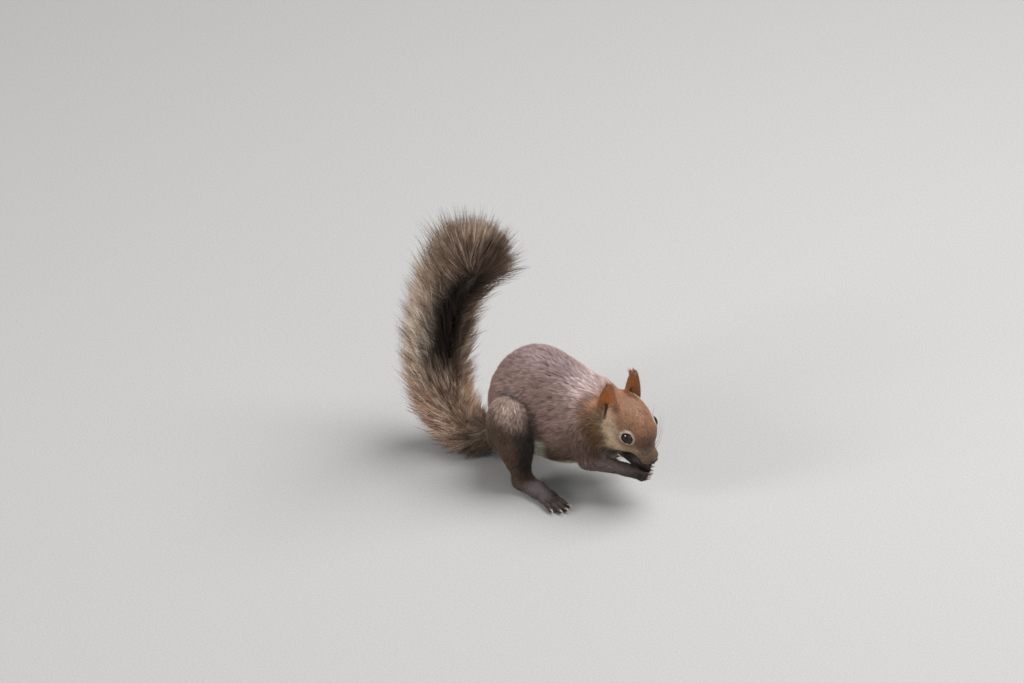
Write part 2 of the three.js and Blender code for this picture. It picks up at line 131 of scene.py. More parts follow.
def material(name, constants):
    """A new Principled material with its constant sockets set: (a Shade of its tree, the shader)."""
    made = bpy.data.materials.new(name)
    made.use_nodes = True
    shader = made.node_tree.nodes["Principled BSDF"]
    for socket, value in constants.items():
        shader.inputs[socket].default_value = value
    return Shade(made.node_tree), shader


def feed(shader, **links):
    """Links Shades to a shader's sockets, named with _ for a space."""
    for name, shade in links.items():
        shade.tree.links.new(shade.socket, shader.inputs[name.replace("_", " ")])


def mesh_object(name, points, faces, made_of):
    """A shown object with smooth faces. faces holds corner numbers, one row a face."""
    mesh = bpy.data.meshes.new(name)
    mesh.vertices.add(len(points))
    mesh.vertices.foreach_set("co", np.ascontiguousarray(points, np.float32).ravel())
    mesh.loops.add(faces.size)
    mesh.loops.foreach_set("vertex_index", np.ascontiguousarray(faces, np.int32).ravel())
    mesh.polygons.add(len(faces))
    starts = np.arange(len(faces), dtype=np.int32) * faces.shape[1]
    mesh.polygons.foreach_set("loop_start", starts)
    mesh.update(calc_edges=True)
    mesh.shade_smooth()
    mesh.materials.append(made_of)
    made = bpy.data.objects.new(name, mesh)
    bpy.context.collection.objects.link(made)
    return made


FLOOR_HALF = 14.0  # metres
FLOOR_PALE, FLOOR_DARKER = (0.34, 0.337, 0.33), (0.30, 0.297, 0.293)

shade, shader = material("pale_floor", {"Roughness": 0.75, "Specular IOR Level": 0.25})
grains = shade.noise(900, 3).step(0.35, 0.7)
feed(shader, Base_Color=shade.blend(FLOOR_PALE, FLOOR_DARKER, grains))
corners = FLOOR_HALF * np.array([[-1, -1, 0], [1, -1, 0], [1, 1, 0], [-1, 1, 0]])
floor = mesh_object("floor", corners, np.array([[0, 1, 2, 3]]), bpy.data.materials["pale_floor"])
floor.location.z = -0.0002

world = bpy.data.worlds.new("studio")
bpy.context.scene.world = world
world.use_nodes = True
world.node_tree.nodes["Background"].inputs["Color"].default_value = (0.90, 0.94, 1.0, 1)
world.node_tree.nodes["Background"].inputs["Strength"].default_value = 0.38

SOFT_LIGHTS = {  # place, side of the square in metres, watts, colour
    "overhead": ((0.45, 0.42, 1.35), 1.2, 40, (1.0, 0.985, 0.97)),
    "right": ((-1.1, -1.45, 0.85), 0.65, 26, (1.0, 0.98, 0.96)),
    "fill": ((1.5, -1.6, 1.0), 2.0, 12, (1.0, 0.98, 0.96)),
}
for name, (place, side, watts, colour) in SOFT_LIGHTS.items():
    light = bpy.data.lights.new(name, "AREA")
    light.size, light.energy, light.color = side, watts, colour
    lamp = bpy.data.objects.new(name, light)
    bpy.context.collection.objects.link(lamp)
    lamp.location = place
    lamp.rotation_euler = (AIM - lamp.location).to_track_quat("-Z", "Y").to_euler()
bpy.context.scene.view_settings.view_transform = "Standard"


# ---- Skin -------------------------------------------------------------------------------------
# One skin covers head, neck, trunk, limbs, ears and the core of the tail without a seam. It is
# the surface of a distance field of eggs and tapered bones that flow into each other, in
# millimetres and with the animal's own origin, and lies under the coat's tips by the coat's depth.
DEPTH = {  # of the coat on each part
    "trunk": 2.6, "neck": 2.2, "head": 0.9, "leg": 1.9, "foot": 0.5, "upper_arm": 1.6,
    "forearm": 0.9, "hand": 0.45, "ear": 0.45, "tail": 0.0,
}
SIDES = {"right": -1, "left": 1}

HIP, KNEE, ANKLE = (-36.5, 17, 31), (-27, 29.5, 58), (-18.5, 28.5, 11)  # left side, y outwards
HEEL, INSTEP, BALL = (-21, 27, 5), (-6, 31, 5.6), (2, 33.5, 4.2)
SHOULDER = (19, 15.5, 50)
HEAD_AT, HEAD_YAW, HEAD_PITCH, HEAD_ROLL = (47, -4, 58.5), -18, 26, 12
EYE_AT, EYE_RADIUS = (8.6, 8.8, 2), 4.9  # in the head's own frame, as are the nose and ears
NOSE_AT = (26.8, 0, -10.7)
EAR_AT, EAR_HEIGHT, EAR_WIDTH, EAR_CUP = (-11.5, 10.4, -0.8), 31, 6.2, 2.8
EAR_WALL, EAR_BACK = 1.5, 10.5
EAR_TURN = {-1: 48, 1: 0}  # degrees outwards: each ear listens its own way
TOES = [  # root past the ball, splay in degrees, length, girth
    ((2.5, 4.6), 20, 8.5, 2.1), ((4, 2.3), 9, 11.4, 2.2), ((4.5, 0), 1, 12, 2.2),
    ((3.5, -2.4), -8, 11.4, 2.2), ((-5, -4.4), -17, 9, 2.0),
]
ARMS = {  # elbow, wrist, palm, finger tips
    "right": ((24.5, -19.5, 31.5), (49.8, -13.8, 28), (54.8, -12.3, 26.4), (62.6, -10.3, 24.4)),
    "left": ((26, 17, 26.5), (49.4, 0.8, 27), (55.2, -1.9, 27.8), (62.6, -5, 27.4)),
}
FINGERS = (-3.2, -1.1, 1.1, 3.2)  # across the palm
BRUSH = np.array([  # the middle of the tail's brush of hair, and half its breadth there
    (-44, 0, 25, 12), (-60, 0, 14.5, 17), (-74, 0, 12, 21), (-87, 0, 26, 24),
    (-94, -1, 46, 26), (-95, -1, 71, 27), (-92, -2, 97, 28.5), (-85, -3, 121.5, 30.5),
    (-74, -5.5, 144, 31), (-62.5, -8, 160, 30.5), (-53.5, -11.5, 168.5, 24), (-47.5, -14.5, 173, 13),
])
BRUSH_FLAT = 0.7  # its thickness over its breadth
BRUSH_TWIST, TWIST_DONE = -62, 0.45  # degrees about its length, reached at this share of it
CORE_END = 0.86  # share of the brush that has the tail's core in it
CORE_ROOT, CORE_TIP = 5.0, 1.6  # its radius
CORE_TURN = np.array([7.0, -8.0, -9.6])  # how far its end curls in from the middle of the hair


def turn(axis, degrees):
    """The matrix that turns about x, y or z."""
    c, s = math.cos(math.radians(degrees)), math.sin(math.radians(degrees))
    a, b = [(1, 2), (2, 0), (0, 1)]["xyz".index(axis)]
    matrix = np.eye(3)
    matrix[a, a] = matrix[b, b] = c
    matrix[a, b], matrix[b, a] = -s, s
    return matrix


def unit(vectors):
    """Vectors brought to length 1 along the last axis."""
    return vectors / np.maximum(np.linalg.norm(vectors, axis=-1, keepdims=True), 1e-9)


def laid(ways, normals):
    """Directions brought flat onto surfaces with these normals."""
    return unit(ways - normals * (ways * normals).sum(axis=-1, keepdims=True))


def ease(values, low, high):
    """0 below low, 1 above high and smooth between them."""
    t = np.clip((values - low) / (high - low), 0, 1)
    return t * t * (3 - 2 * t)


def mirrored(point, side):
    """A point of the left side, on the side asked for: 1 is left and -1 right."""
    return np.array([point[0], side * point[1], point[2]], float)


def into(matrix, origin, x, y, z):
    """The coordinates of points in a frame whose axes are the matrix's columns."""
    x, y, z = x - origin[0], y - origin[1], z - origin[2]
    return [matrix[0, i] * x + matrix[1, i] * y + matrix[2, i] * z for i in range(3)]


head_turn = turn("z", HEAD_YAW) @ turn("y", HEAD_PITCH) @ turn("x", HEAD_ROLL)


def on_head(point):
    """A point of the head's own frame in the animal's."""
    return head_turn @ np.array(point, float) + HEAD_AT


def egg(centre, radii):
    """The distance field of an egg."""

    def field(x, y, z):
        u, v, w = (x - centre[0]) / radii[0], (y - centre[1]) / radii[1], (z - centre[2]) / radii[2]
        reach = np.sqrt(u * u + v * v + w * w)
        slope = np.sqrt((u / radii[0]) ** 2 + (v / radii[1]) ** 2 + (w / radii[2]) ** 2)
        return reach * (reach - 1) / np.maximum(slope, 1e-6)

    return field


def bone(a, ra, b, rb):
    """The distance field of a round bar from a to b, whose radius goes from ra to rb."""
    way = np.subtract(b, a)
    square = float(way @ way)

    def field(x, y, z):
        px, py, pz = x - a[0], y - a[1], z - a[2]
        t = np.clip((px * way[0] + py * way[1] + pz * way[2]) / square, 0, 1)
        rest = (px - t * way[0]) ** 2 + (py - t * way[1]) ** 2 + (pz - t * way[2]) ** 2
        return np.sqrt(rest) - (ra + t * (rb - ra))

    return field


def melt(distance, first, *others):
    """The smooth union of distances: neighbours flow into each other over a distance."""
    for other in others:
        near = np.maximum(distance - np.abs(first - other), 0) / distance
        first = np.minimum(first, other) - near * near * distance / 4
    return first


def carve(distance, solid, hole):
    """The solid without the hole, with a rim as round as the distance."""
    return -melt(distance, -solid, hole)


trunk_eggs = [
    egg((-31, 0, 45), (25, 25, 33)),  # rump
    egg((-20, 0, 62), (28, 24, 30.5)),  # loin
    egg((3, 0, 52), (29, 23.5, 30)),  # ribs
    egg((-2, 0, 34.8), (25, 21.5, 20.3)),  # belly
    egg((20, -0.5, 50), (18, 20, 24)),  # shoulders
    egg((24, -1, 37.5), (14.5, 13.5, 14)),  # breast
]
neck_bone = bone((20, -1, 57), 17, (36, -4, 58.5), 13.5)


def foot_bones(side):
    """Each toe as (points from knuckle to tip, the claw's three points, its girth)."""
    out = math.atan2(BALL[1] - HEEL[1], BALL[0] - HEEL[0])
    rows = []
    for root, splay, length, girth in TOES:
        way = out + math.radians(splay)
        start_x = BALL[0] + root[0] * math.cos(out) - root[1] * math.sin(out)
        start_y = BALL[1] + root[0] * math.sin(out) + root[1] * math.cos(out)

        def along(distance, height):
            point = (start_x + distance * math.cos(way), start_y + distance * math.sin(way), height)
            return mirrored(point, side)

        points = [along(-3, 3.6), along(length * 0.55, 3.9), along(length, 2)]
        claw = [along(length - 0.6, 2.6), along(length + 2.2, 2.9), along(length + 4.4, 0.9)]
        rows.append((points, claw, girth))
    return rows


def hand_bones(name):
    """Each finger as (points from knuckle to tip, the claw's three points)."""
    _, wrist, palm, tips = (np.array(point, float) for point in ARMS[name])
    reach = tips - palm
    arm = unit(palm - wrist)
    across = unit(np.cross(np.cross((0, SIDES[name] * 0.35, 0.94), arm), arm))
    rows = []
    for offset in FINGERS:

        def along(share, lift):
            spread = offset * (1 + 0.12 * share)
            return palm + across * spread + reach * share + np.array([0, 0, lift])

        points = [along(0, 0), along(0.6, -1), along(0.95, 0.4)]
        claw = [along(0.9, 0.4), along(1.2, 1.2), along(1.4, 3)]
        rows.append((points, claw))
    return rows


def catmull(rows, count):
    """count points, evenly spaced along their length, on a smooth line through the rows."""
    padded = np.vstack([2 * rows[0] - rows[1], rows, 2 * rows[-1] - rows[-2]])
    t = np.linspace(0, len(rows) - 1, 60 * len(rows))
    i = np.minimum(t.astype(int), len(rows) - 2)
    f = (t - i)[:, None]
    a, b, c, d = (padded[i + k] for k in range(4))
    line = b + 0.5 * f * (c - a + f * (2 * a - 5 * b + 4 * c - d + f * (3 * (b - c) + d - a)))
    gone = np.append(0, np.cumsum(np.linalg.norm(np.diff(line[:, :3], axis=0), axis=1)))
    even = np.linspace(0, gone[-1], count)
    return np.stack([np.interp(even, gone, column) for column in line.T], axis=1), gone[-1]


brush_line, brush_length = catmull(BRUSH, 241)
line_ways = unit(np.gradient(brush_line[:, :3], axis=0))


def on_line(share):
    """The brush's middle at shares: (point, way, its two axes across, half breadth)."""
    place = np.clip(share, 0, 1) * (len(brush_line) - 1)
    columns = np.arange(len(brush_line))
    point = np.stack([np.interp(place, columns, brush_line[:, k]) for k in range(3)], axis=-1)
    way = unit(np.stack([np.interp(place, columns, line_ways[:, k]) for k in range(3)], axis=-1))
    across = laid(np.broadcast_to((0.0, 1.0, 0.0), way.shape), way)
    through = np.cross(way, across)
    twist = (np.radians(BRUSH_TWIST) * ease(share, 0, TWIST_DONE))[..., None]
    broad = across * np.cos(twist) + through * np.sin(twist)
    return point, way, broad, np.cross(way, broad), np.interp(place, columns, brush_line[:, 3])


def core_at(share):
    """The middle of the tail's core, which runs nearer to the inside of the curl."""
    point, _, broad, _, _ = on_line(share)
    aside = 5.5 * ease(share, 0.25, 0.55) * (1 - 0.7 * ease(share, 0.7, CORE_END))
    return point + broad * aside[..., None] + CORE_TURN * ease(share, 0.62, CORE_END)[..., None]


core_knots = core_at(np.linspace(0, CORE_END, 24))
core_girths = np.linspace(CORE_ROOT, CORE_TIP, len(core_knots))
core_bones = [
    bone(core_knots[i], core_girths[i], core_knots[i + 1], core_girths[i + 1])
    for i in range(len(core_knots) - 1)
]
leg_bones, toe_bones, finger_bones = {}, {}, {}
for name, side in SIDES.items():
    hip, knee, ankle = (mirrored(point, side) for point in (HIP, KNEE, ANKLE))
    leg_bones[name] = [
        bone(hip, 13.5, mirrored((-32, 27, 51), side), 12.5),
        bone(knee, 12, ankle, 6.8),
        egg(mirrored((-22.5, 29, 36), side), (12, 10.5, 20)),
    ]
    toe_bones[name] = [
        (bone(p[0], girth + 0.5, p[1], girth), bone(p[1], girth, p[2], girth - 0.3))
        for p, _, girth in foot_bones(side)
    ]
    finger_bones[name] = [
        (bone(p[0], 1.7, p[1], 1.5), bone(p[1], 1.5, p[2], 1.2)) for p, _ in hand_bones(name)
    ]


def leg_at(name, x, y, z):
    return melt(7, *(field(x, y, z) for field in leg_bones[name]))


def foot_at(name, x, y, z):
    side = SIDES[name]
    heel, instep, ball = (mirrored(point, side) for point in (HEEL, INSTEP, BALL))
    toes = [melt(1, first(x, y, z), last(x, y, z)) for first, last in toe_bones[name]]
    sole = [bone(heel, 5.6, instep, 5.8)(x, y, z), bone(instep, 5.8, ball, 5)(x, y, z)]
    return melt(3, *sole, melt(1.2, *toes))


def hand_at(name, x, y, z):
    _, wrist, palm, _ = ARMS[name]
    fingers = [melt(1, first(x, y, z), last(x, y, z)) for first, last in finger_bones[name]]
    return melt(3, bone(wrist, 4.1, palm, 3.6)(x, y, z), melt(0.8, *fingers))


def head_at(x, y, z):
    """The head without ears, in its own coordinates."""
    cheeks = [egg((0, y0, -8.5), (13, 8.4, 10.9))(x, y, z) for y0 in (7.6, -7.6)]
    lips = [egg((21.4, y0, -12.8), (4.6, 3.3, 3.5))(x, y, z) for y0 in (2.7, -2.7)]
    return melt(
        6,
        egg((-6, 0, 2), (17, 14, 13.2))(x, y, z),
        egg((6, 0, 2.5), (14, 12, 11))(x, y, z),
        melt(5, *cheeks),
        bone((12, 0, -3), 8.8, (22.3, 0, -10), 4.1)(x, y, z),
        bone((2, 0, -14.3), 9, (20, 0, -16.2), 3.6)(x, y, z),
        melt(2, *lips),
    )


def ear_turn(side):
    """The axes of an ear in the head's frame: out of its cup, across it and up to its tip."""
    return turn("y", -EAR_BACK) @ turn("z", side * EAR_TURN[side])


def ear_breadth(t):
    """Half the ear's breadth at a share of its height."""
    return EAR_WIDTH * (1.08 - 0.12 * t) * (1 - t**2.3) ** 0.62 + 1


def ear_at(side, wall, x, y, z):
    """A pointed leaf with a crescent section, in the head's coordinates."""
    x, y, z = into(ear_turn(side), mirrored(EAR_AT, side), x, y, z)
    t = np.clip(z / EAR_HEIGHT, 0, 1)
    breadth = ear_breadth(t)
    cup = EAR_CUP * (1 - 0.75 * t) + 0.6
    x = x - 0.35 * cup
    u, v = x / cup, y / breadth
    reach = np.sqrt(u * u + v * v)
    slope = np.sqrt((u / cup) ** 2 + (v / breadth) ** 2)
    shell = np.abs(reach * (reach - 1) / np.maximum(slope, 1e-6)) - wall / 2
    return -melt(0.8, -shell, -(x + 0.12 * cup), EAR_HEIGHT - 0.6 - z, z + 4)


eye_out = unit(np.array([0.34, 0.88, 0.33]))  # where the left eye looks, in the head's frame
eye_long = np.array([0.93, -0.28, -0.24])  # from the back corner of the lids to the front one
eye_long = unit(eye_long - eye_out * (eye_long @ eye_out))
eye_high = np.cross(eye_long, eye_out)
LID_OPENING = (3.95, 4.15)  # half its length and height
LID_THICK = 0.5


def opening_at(long, high):
    """How far a place is outside the lids' opening, which is drawn out into two corners."""
    return 3.8 * (((np.abs(long) / LID_OPENING[0]) ** 1.95 + (high / LID_OPENING[1]) ** 2) ** 0.5 - 1)


def lids_at(side, x, y, z):
    """(a cap of skin over the eyeball, the dip in its opening that holds the eye's front)."""
    p, q, r = x - EYE_AT[0], y * side - EYE_AT[1], z - EYE_AT[2]
    out, long, high = (p * w[0] + q * w[1] + r * w[2] for w in (eye_out, eye_long, eye_high))
    away = np.sqrt(p * p + q * q + r * r)
    dip = np.maximum(np.maximum(opening_at(long, high), EYE_RADIUS - 0.6 - away), -out)
    return away - EYE_RADIUS - LID_THICK, dip


MOUTH = [(26.4, 0, -13.6), (25.2, 2.0, -14.6), (21.5, 4.6, -15.2), (17.5, 5.9, -14.6), (15, 6.6, -13.6)]
EAR_SLIT = ((-0.5, 0, 10.6), 1.25), ((5.4, 0, 4.9), 0.5)  # in the ear's frame: where, half breadth


def parts_at(x, y, z, thick_ears=False):
    """The distance to the skin of each part of the body, by name."""
    hx, hy, hz = into(head_turn, HEAD_AT, x, y, z)
    parts = {
        "trunk": melt(14, *(field(x, y, z) for field in trunk_eggs)),
        "neck": neck_bone(x, y, z),
        "head": head_at(hx, hy, hz),
        "leg": np.minimum(leg_at("right", x, y, z), leg_at("left", x, y, z)),
        "foot": np.minimum(foot_at("right", x, y, z), foot_at("left", x, y, z)),
    }
    upper, fore, hand, ears = [], [], [], []
    for name, side in SIDES.items():
        elbow, wrist, _, _ = ARMS[name]
        upper.append(bone(mirrored(SHOULDER, side), 10.5, elbow, 7.2)(x, y, z))
        fore.append(bone(elbow, 7, wrist, 4.3)(x, y, z))
        hand.append(hand_at(name, x, y, z))
        ears.append(ear_at(side, EAR_WALL + (2.0 if thick_ears else 0), hx, hy, hz))
    parts["upper_arm"] = np.minimum(*upper)
    parts["forearm"] = np.minimum(*fore)
    parts["hand"] = np.minimum(*hand)
    parts["ear"] = np.minimum(*ears)
    parts["tail"] = melt(1, *(field(x, y, z) for field in core_bones))
    return {name: value + DEPTH[name] for name, value in parts.items()}


def skin_at(x, y, z, thick_ears=False):
    """The distance to the whole skin."""
    parts = parts_at(x, y, z, thick_ears)
    body = melt(12, parts["trunk"], parts["neck"])
    body = melt(3, melt(6, body, parts["head"], parts["upper_arm"]), parts["leg"])
    body = melt(5, body, parts["foot"], parts["tail"])
    body = melt(3, body, melt(3, parts["forearm"], parts["hand"]))
    body = melt(2.4, body, parts["ear"])
    hx, hy, hz = into(head_turn, HEAD_AT, x, y, z)
    for side in SIDES.values():
        cap, dip = lids_at(side, hx, hy, hz)
        body = carve(0.3, melt(1.6, body, cap), dip)
        ex, ey, ez = into(ear_turn(side), mirrored(EAR_AT, side), hx, hy, hz)
        (top, top_half), (foot, foot_half) = EAR_SLIT
        body = carve(1.0, body, bone(top, top_half, foot, foot_half)(ex, ey, ez))
        knots = [mirrored(point, side) for point in MOUTH]
        groove = [bone(knots[i], 0.42, knots[i + 1], 0.42)(hx, hy, hz) for i in range(len(knots) - 1)]
        body = carve(0.7, body, melt(0.3, *groove))
    return carve(0.5, body, bone((27.6, 0, -11.6), 0.3, (26.4, 0, -13.6), 0.35)(hx, hy, hz))


def slope_of(field, points, reach=0.06):
    """(value, slope) of a field at points, from four samples round each."""
    corners = np.array([(1, -1, -1), (-1, -1, 1), (-1, 1, -1), (1, 1, 1)], float)
    samples = [field(*(points + reach * corner).T) for corner in corners]
    slope = sum(corner * sample[:, None] for corner, sample in zip(corners, samples)) / (4 * reach)
    return sum(samples) / 4, slope


def settle(points, field, most, rounds):
    """Moves points onto a field's surface, at most so far each round."""
    for _ in range(rounds):
        value, slope = slope_of(field, points)
        pull = value / np.maximum((slope**2).sum(axis=1), 0.2)
        points = points - np.clip(pull[:, None] * slope, -most, most)
    return points


def net(field, low, high, step):
    """Surface nets: (points, triangles) of a field's surface in a box, on a grid of that step."""
    axes = [np.arange(a, b + step, step, dtype=np.float32) for a, b in zip(low, high)]
    value = np.empty([len(axis) for axis in axes], np.float32)
    grid_y, grid_z = axes[1][None, :, None], axes[2][None, None, :]
    slab = 24
    for i in range(0, len(axes[0]), slab):
        value[i : i + slab] = field(axes[0][i : i + slab, None, None], grid_y, grid_z)
    inside = value < 0
    sizes = inside.shape
    corner = np.array([(c & 1, c >> 1 & 1, c >> 2) for c in range(8)])
    count = np.zeros([n - 1 for n in sizes], np.int8)
    for a, b, c in corner:
        count += inside[a : sizes[0] - 1 + a, b : sizes[1] - 1 + b, c : sizes[2] - 1 + c]
    cells = np.argwhere((count > 0) & (count < 8))
    at = cells[:, None, :] + corner
    held = value[at[..., 0], at[..., 1], at[..., 2]]
    total, crossings = np.zeros((len(cells), 3)), np.zeros(len(cells))
    for a in range(8):
        for bit in (1, 2, 4):
            if a & bit:
                continue
            first, last = held[:, a], held[:, a | bit]
            crossed = (first < 0) != (last < 0)
            t = np.where(crossed, first / np.where(crossed, first - last, 1), 0)
            total += crossed[:, None] * (corner[a] + t[:, None] * (corner[a | bit] - corner[a]))
            crossings += crossed
    points = np.array(low) + (cells + total / crossings[:, None]) * step
    number = np.full(count.shape, -1)
    number[tuple(cells.T)] = np.arange(len(cells))
    quads = []
    for axis in range(3):
        ahead = np.roll(inside, -1, axis)
        here = np.argwhere(inside != ahead)
        here = here[(here > 0).all(axis=1) & (here < np.array(sizes) - 2).all(axis=1)]
        u, v = np.eye(3, dtype=int)[[(axis + 1) % 3, (axis + 2) % 3]]
        ring = np.stack([number[tuple((here - off).T)] for off in (u + v, v, 0 * u, u)], axis=1)
        solid = inside[tuple(here.T)]
        quads.append(np.where(solid[:, None], ring, ring[:, ::-1]))
    quads = np.concatenate(quads)
    return points, np.concatenate([quads[:, [0, 1, 2]], quads[:, [0, 2, 3]]])


CUTS = {  # how a triangle a b c is cut when the middles p of ab, q of bc and r of ca are wanted
    0: [(0, 1, 2)], 1: [(0, 3, 2), (3, 1, 2)], 2: [(0, 1, 4), (0, 4, 2)], 4: [(0, 1, 5), (5, 1, 2)],
    3: [(3, 1, 4), (0, 3, 4), (0, 4, 2)], 6: [(4, 2, 5), (0, 1, 4), (0, 4, 5)],
    5: [(0, 3, 5), (3, 1, 2), (3, 2, 5)], 7: [(0, 3, 5), (3, 1, 4), (5, 4, 2), (3, 4, 5)],
}


def refine(points, triangles, wanted):
    """Halves the edges whose middles are wanted, and cuts the triangles to suit."""
    sides = np.sort(triangles[:, [[0, 1], [1, 2], [2, 0]]], axis=2)
    keys, index = np.unique(sides[..., 0] * len(points) + sides[..., 1], return_inverse=True)
    middles = (points[keys // len(points)] + points[keys % len(points)]) / 2
    halved = wanted(middles)
    number = np.where(halved, len(points) + np.cumsum(halved) - 1, -1)[index].reshape(-1, 3)
    kind = ((number >= 0) * np.array([1, 2, 4])).sum(axis=1)
    corners = np.hstack([triangles, number])
    made = [corners[kind == k][:, cuts].reshape(-1, 3) for k, cuts in CUTS.items()]
    return np.vstack([points, middles[halved]]), np.concatenate(made)


def head_point(points):
    """Points of the animal's in the head's own frame."""
    return (points - HEAD_AT) @ head_turn


def folded(points):
    """Points of both sides brought onto the left side."""
    return points * np.array([1, 0, 1]) + np.abs(points) * np.array([0, 1, 0])


def wants_fine(points):
    """Where the skin shows small shapes: the head, hands and feet."""
    at = head_point(points)
    head = (at[:, 0] > -15) & (np.abs(at[:, 1]) < 22) & (at[:, 2] > -17)
    hands = (points[:, 0] > 47) & (points[:, 2] < 38)
    feet = (points[:, 2] < 10) & (points[:, 0] > -28)
    return head | hands | feet


def wants_finest(points):
    """Where it shows the smallest: round the eyes, the nose and mouth, and the ears' roots."""
    at = head_point(points)
    sided = folded(at)
    eyes = np.linalg.norm(sided - EYE_AT, axis=1) < 7.2
    nose = np.linalg.norm(at - NOSE_AT, axis=1) < 6
    mouth = np.linalg.norm((sided - (20.5, 4.2, -14.6)) / (8, 3, 3), axis=1) < 1
    ears = np.linalg.norm(sided - (-11, 12.5, 7.5), axis=1) < 6.5
    return eyes | nose | mouth | ears


def wants_lids(points):
    return np.linalg.norm(folded(head_point(points)) - EYE_AT, axis=1) < 6.0


SKIN_LOW, SKIN_HIGH, SKIN_STEP = (-102, -48, -3), (82, 46, 168), 1.15
points, triangles = net(
    lambda x, y, z: skin_at(x, y, z, thick_ears=True), SKIN_LOW, SKIN_HIGH, SKIN_STEP
)
points = settle(points, skin_at, 0.5, 3)
points, triangles = refine(points, triangles, wants_fine)
points = settle(points, skin_at, 0.3, 2)
points, triangles = refine(points, triangles, wants_finest)
points = settle(points, skin_at, 0.15, 3)
points, triangles = refine(points, triangles, wants_lids)
points = settle(points, skin_at, 0.08, 2)
points[:, 2] = np.maximum(points[:, 2], 0.12)
skin_points, skin_triangles = points, triangles
skin_normals = unit(slope_of(skin_at, points)[1])


def shares_at(points, softness=1.6):
    """How much each part of the body has of each point: shares that add up to 1."""
    distances = parts_at(*points.T)
    nearest = np.min(list(distances.values()), axis=0)
    shares = {name: np.exp((nearest - d) / softness) for name, d in distances.items()}
    total = sum(shares.values())
    return {name: share / total for name, share in shares.items()}


def ripple(points, size, seed):
    """Smooth noise from about -1 to 1, with lumps of a size in millimetres."""
    draw = np.random.default_rng(seed)
    total = np.zeros(len(points))
    for _ in range(6):
        wave = unit(draw.normal(size=3)) * 2 * math.pi / size * draw.uniform(0.6, 1.5)
        total += np.sin(points @ wave + draw.uniform(0, 6.28))
    return total / 2.4


def near_line(points, knots, reach, soft):
    """1 within reach of a line through the knots, fading to 0 over the soft distance."""
    apart = [bone(knots[i], 0, knots[i + 1], 0)(*points.T) for i in range(len(knots) - 1)]
    return 1 - ease(np.min(apart, axis=0), reach, reach + soft)


# Lines along the left side that bands and patches of the coat's colour follow, the two bands by
# the ears partly painted shade: the first three in the head's frame, then the animal's own.
CHEEK = [(-9, 15, 4.5), (-2, 15.5, -1), (1, 16, -9), (8, 11.5, -13.5), (15, 7, -12.5)]
NAPE_BAND = [(-19.3, 15.5, 5.6), (-12.5, 19.5, 0), (-6, 20, -8)]
BEFORE_EAR = [(-8.9, 6.1, 13.9), (-5.7, 8.2, 11.6)]
CHEST = [(33, -12.5, 35), (33.5, 8, 33)]  # from the right side across to the left
GROIN = [(-6.2, 22.5, 35), (-7, 19, 24), (-8, 11, 14)]


def head_marks(points, normals, shares):
    """How much of each colour of the head and the ears a place has, and of the band behind them, which is
    partly painted shade.
    """
    at = head_point(points)
    sided = folded(at)
    from_eye = sided - EYE_AT
    opening = opening_at(from_eye @ eye_long, from_eye @ eye_high)
    near_eye = 1 - ease(np.linalg.norm(from_eye, axis=1) - EYE_RADIUS, 1.4, 2.6)
    muzzle = shares["head"] * ease(at[:, 0] - 0.3 * at[:, 2], 15, 25)
    # The band in the fold behind each ear and the patch at its front root: partly the coat's colour,
    # partly painted shade.
    bands = np.maximum(near_line(sided, NAPE_BAND, 4, 5), near_line(sided, BEFORE_EAR, 1, 2))
    cheek = near_line(sided, CHEEK, 3.6, 6.5) * (shares["head"] + 0.8 * shares["neck"])
    ginger = (shares["head"] + 0.45 * shares["neck"] + shares["ear"]) * (1 - 0.75 * muzzle)
    in_ears = [(at - mirrored(EAR_AT, side)) @ ear_turn(side) for side in SIDES.values()]
    cup_ways = [head_turn @ ear_turn(side)[:, 0] for side in SIDES.values()]
    inside = ease((normals * np.where(at[:, 1:2] < 0, *cup_ways)).sum(axis=1), -0.95, -0.35)
    rims = [
        ease(np.abs(local[:, 1]) / ear_breadth(np.clip(local[:, 2] / EAR_HEIGHT, 0, 1)), 0.62, 1.0)
        for local in in_ears
    ]
    slits = [near_line(local, [EAR_SLIT[0][0], EAR_SLIT[1][0]], 1.5, 1.0) for local in in_ears]
    return {
        "ginger": np.clip(ginger, 0, 1),
        "buff": np.clip(cheek, 0, 1),
        "olive_and_shade": bands * (1 - shares["ear"]),
        "muzzle": np.clip(muzzle, 0, 1),
        "ring": 0.85 * (1 - ease(opening, 0.9, 1.7)) * near_eye * shares["head"],
        "ear": shares["ear"] * (0.35 + 0.65 * inside) * (1 - 0.35 * ease(at[:, 2], 14, 26)),
        "rim_fur": 0.65 * np.min(rims, axis=0) * shares["ear"],
        "slit": np.max(slits, axis=0),
    }


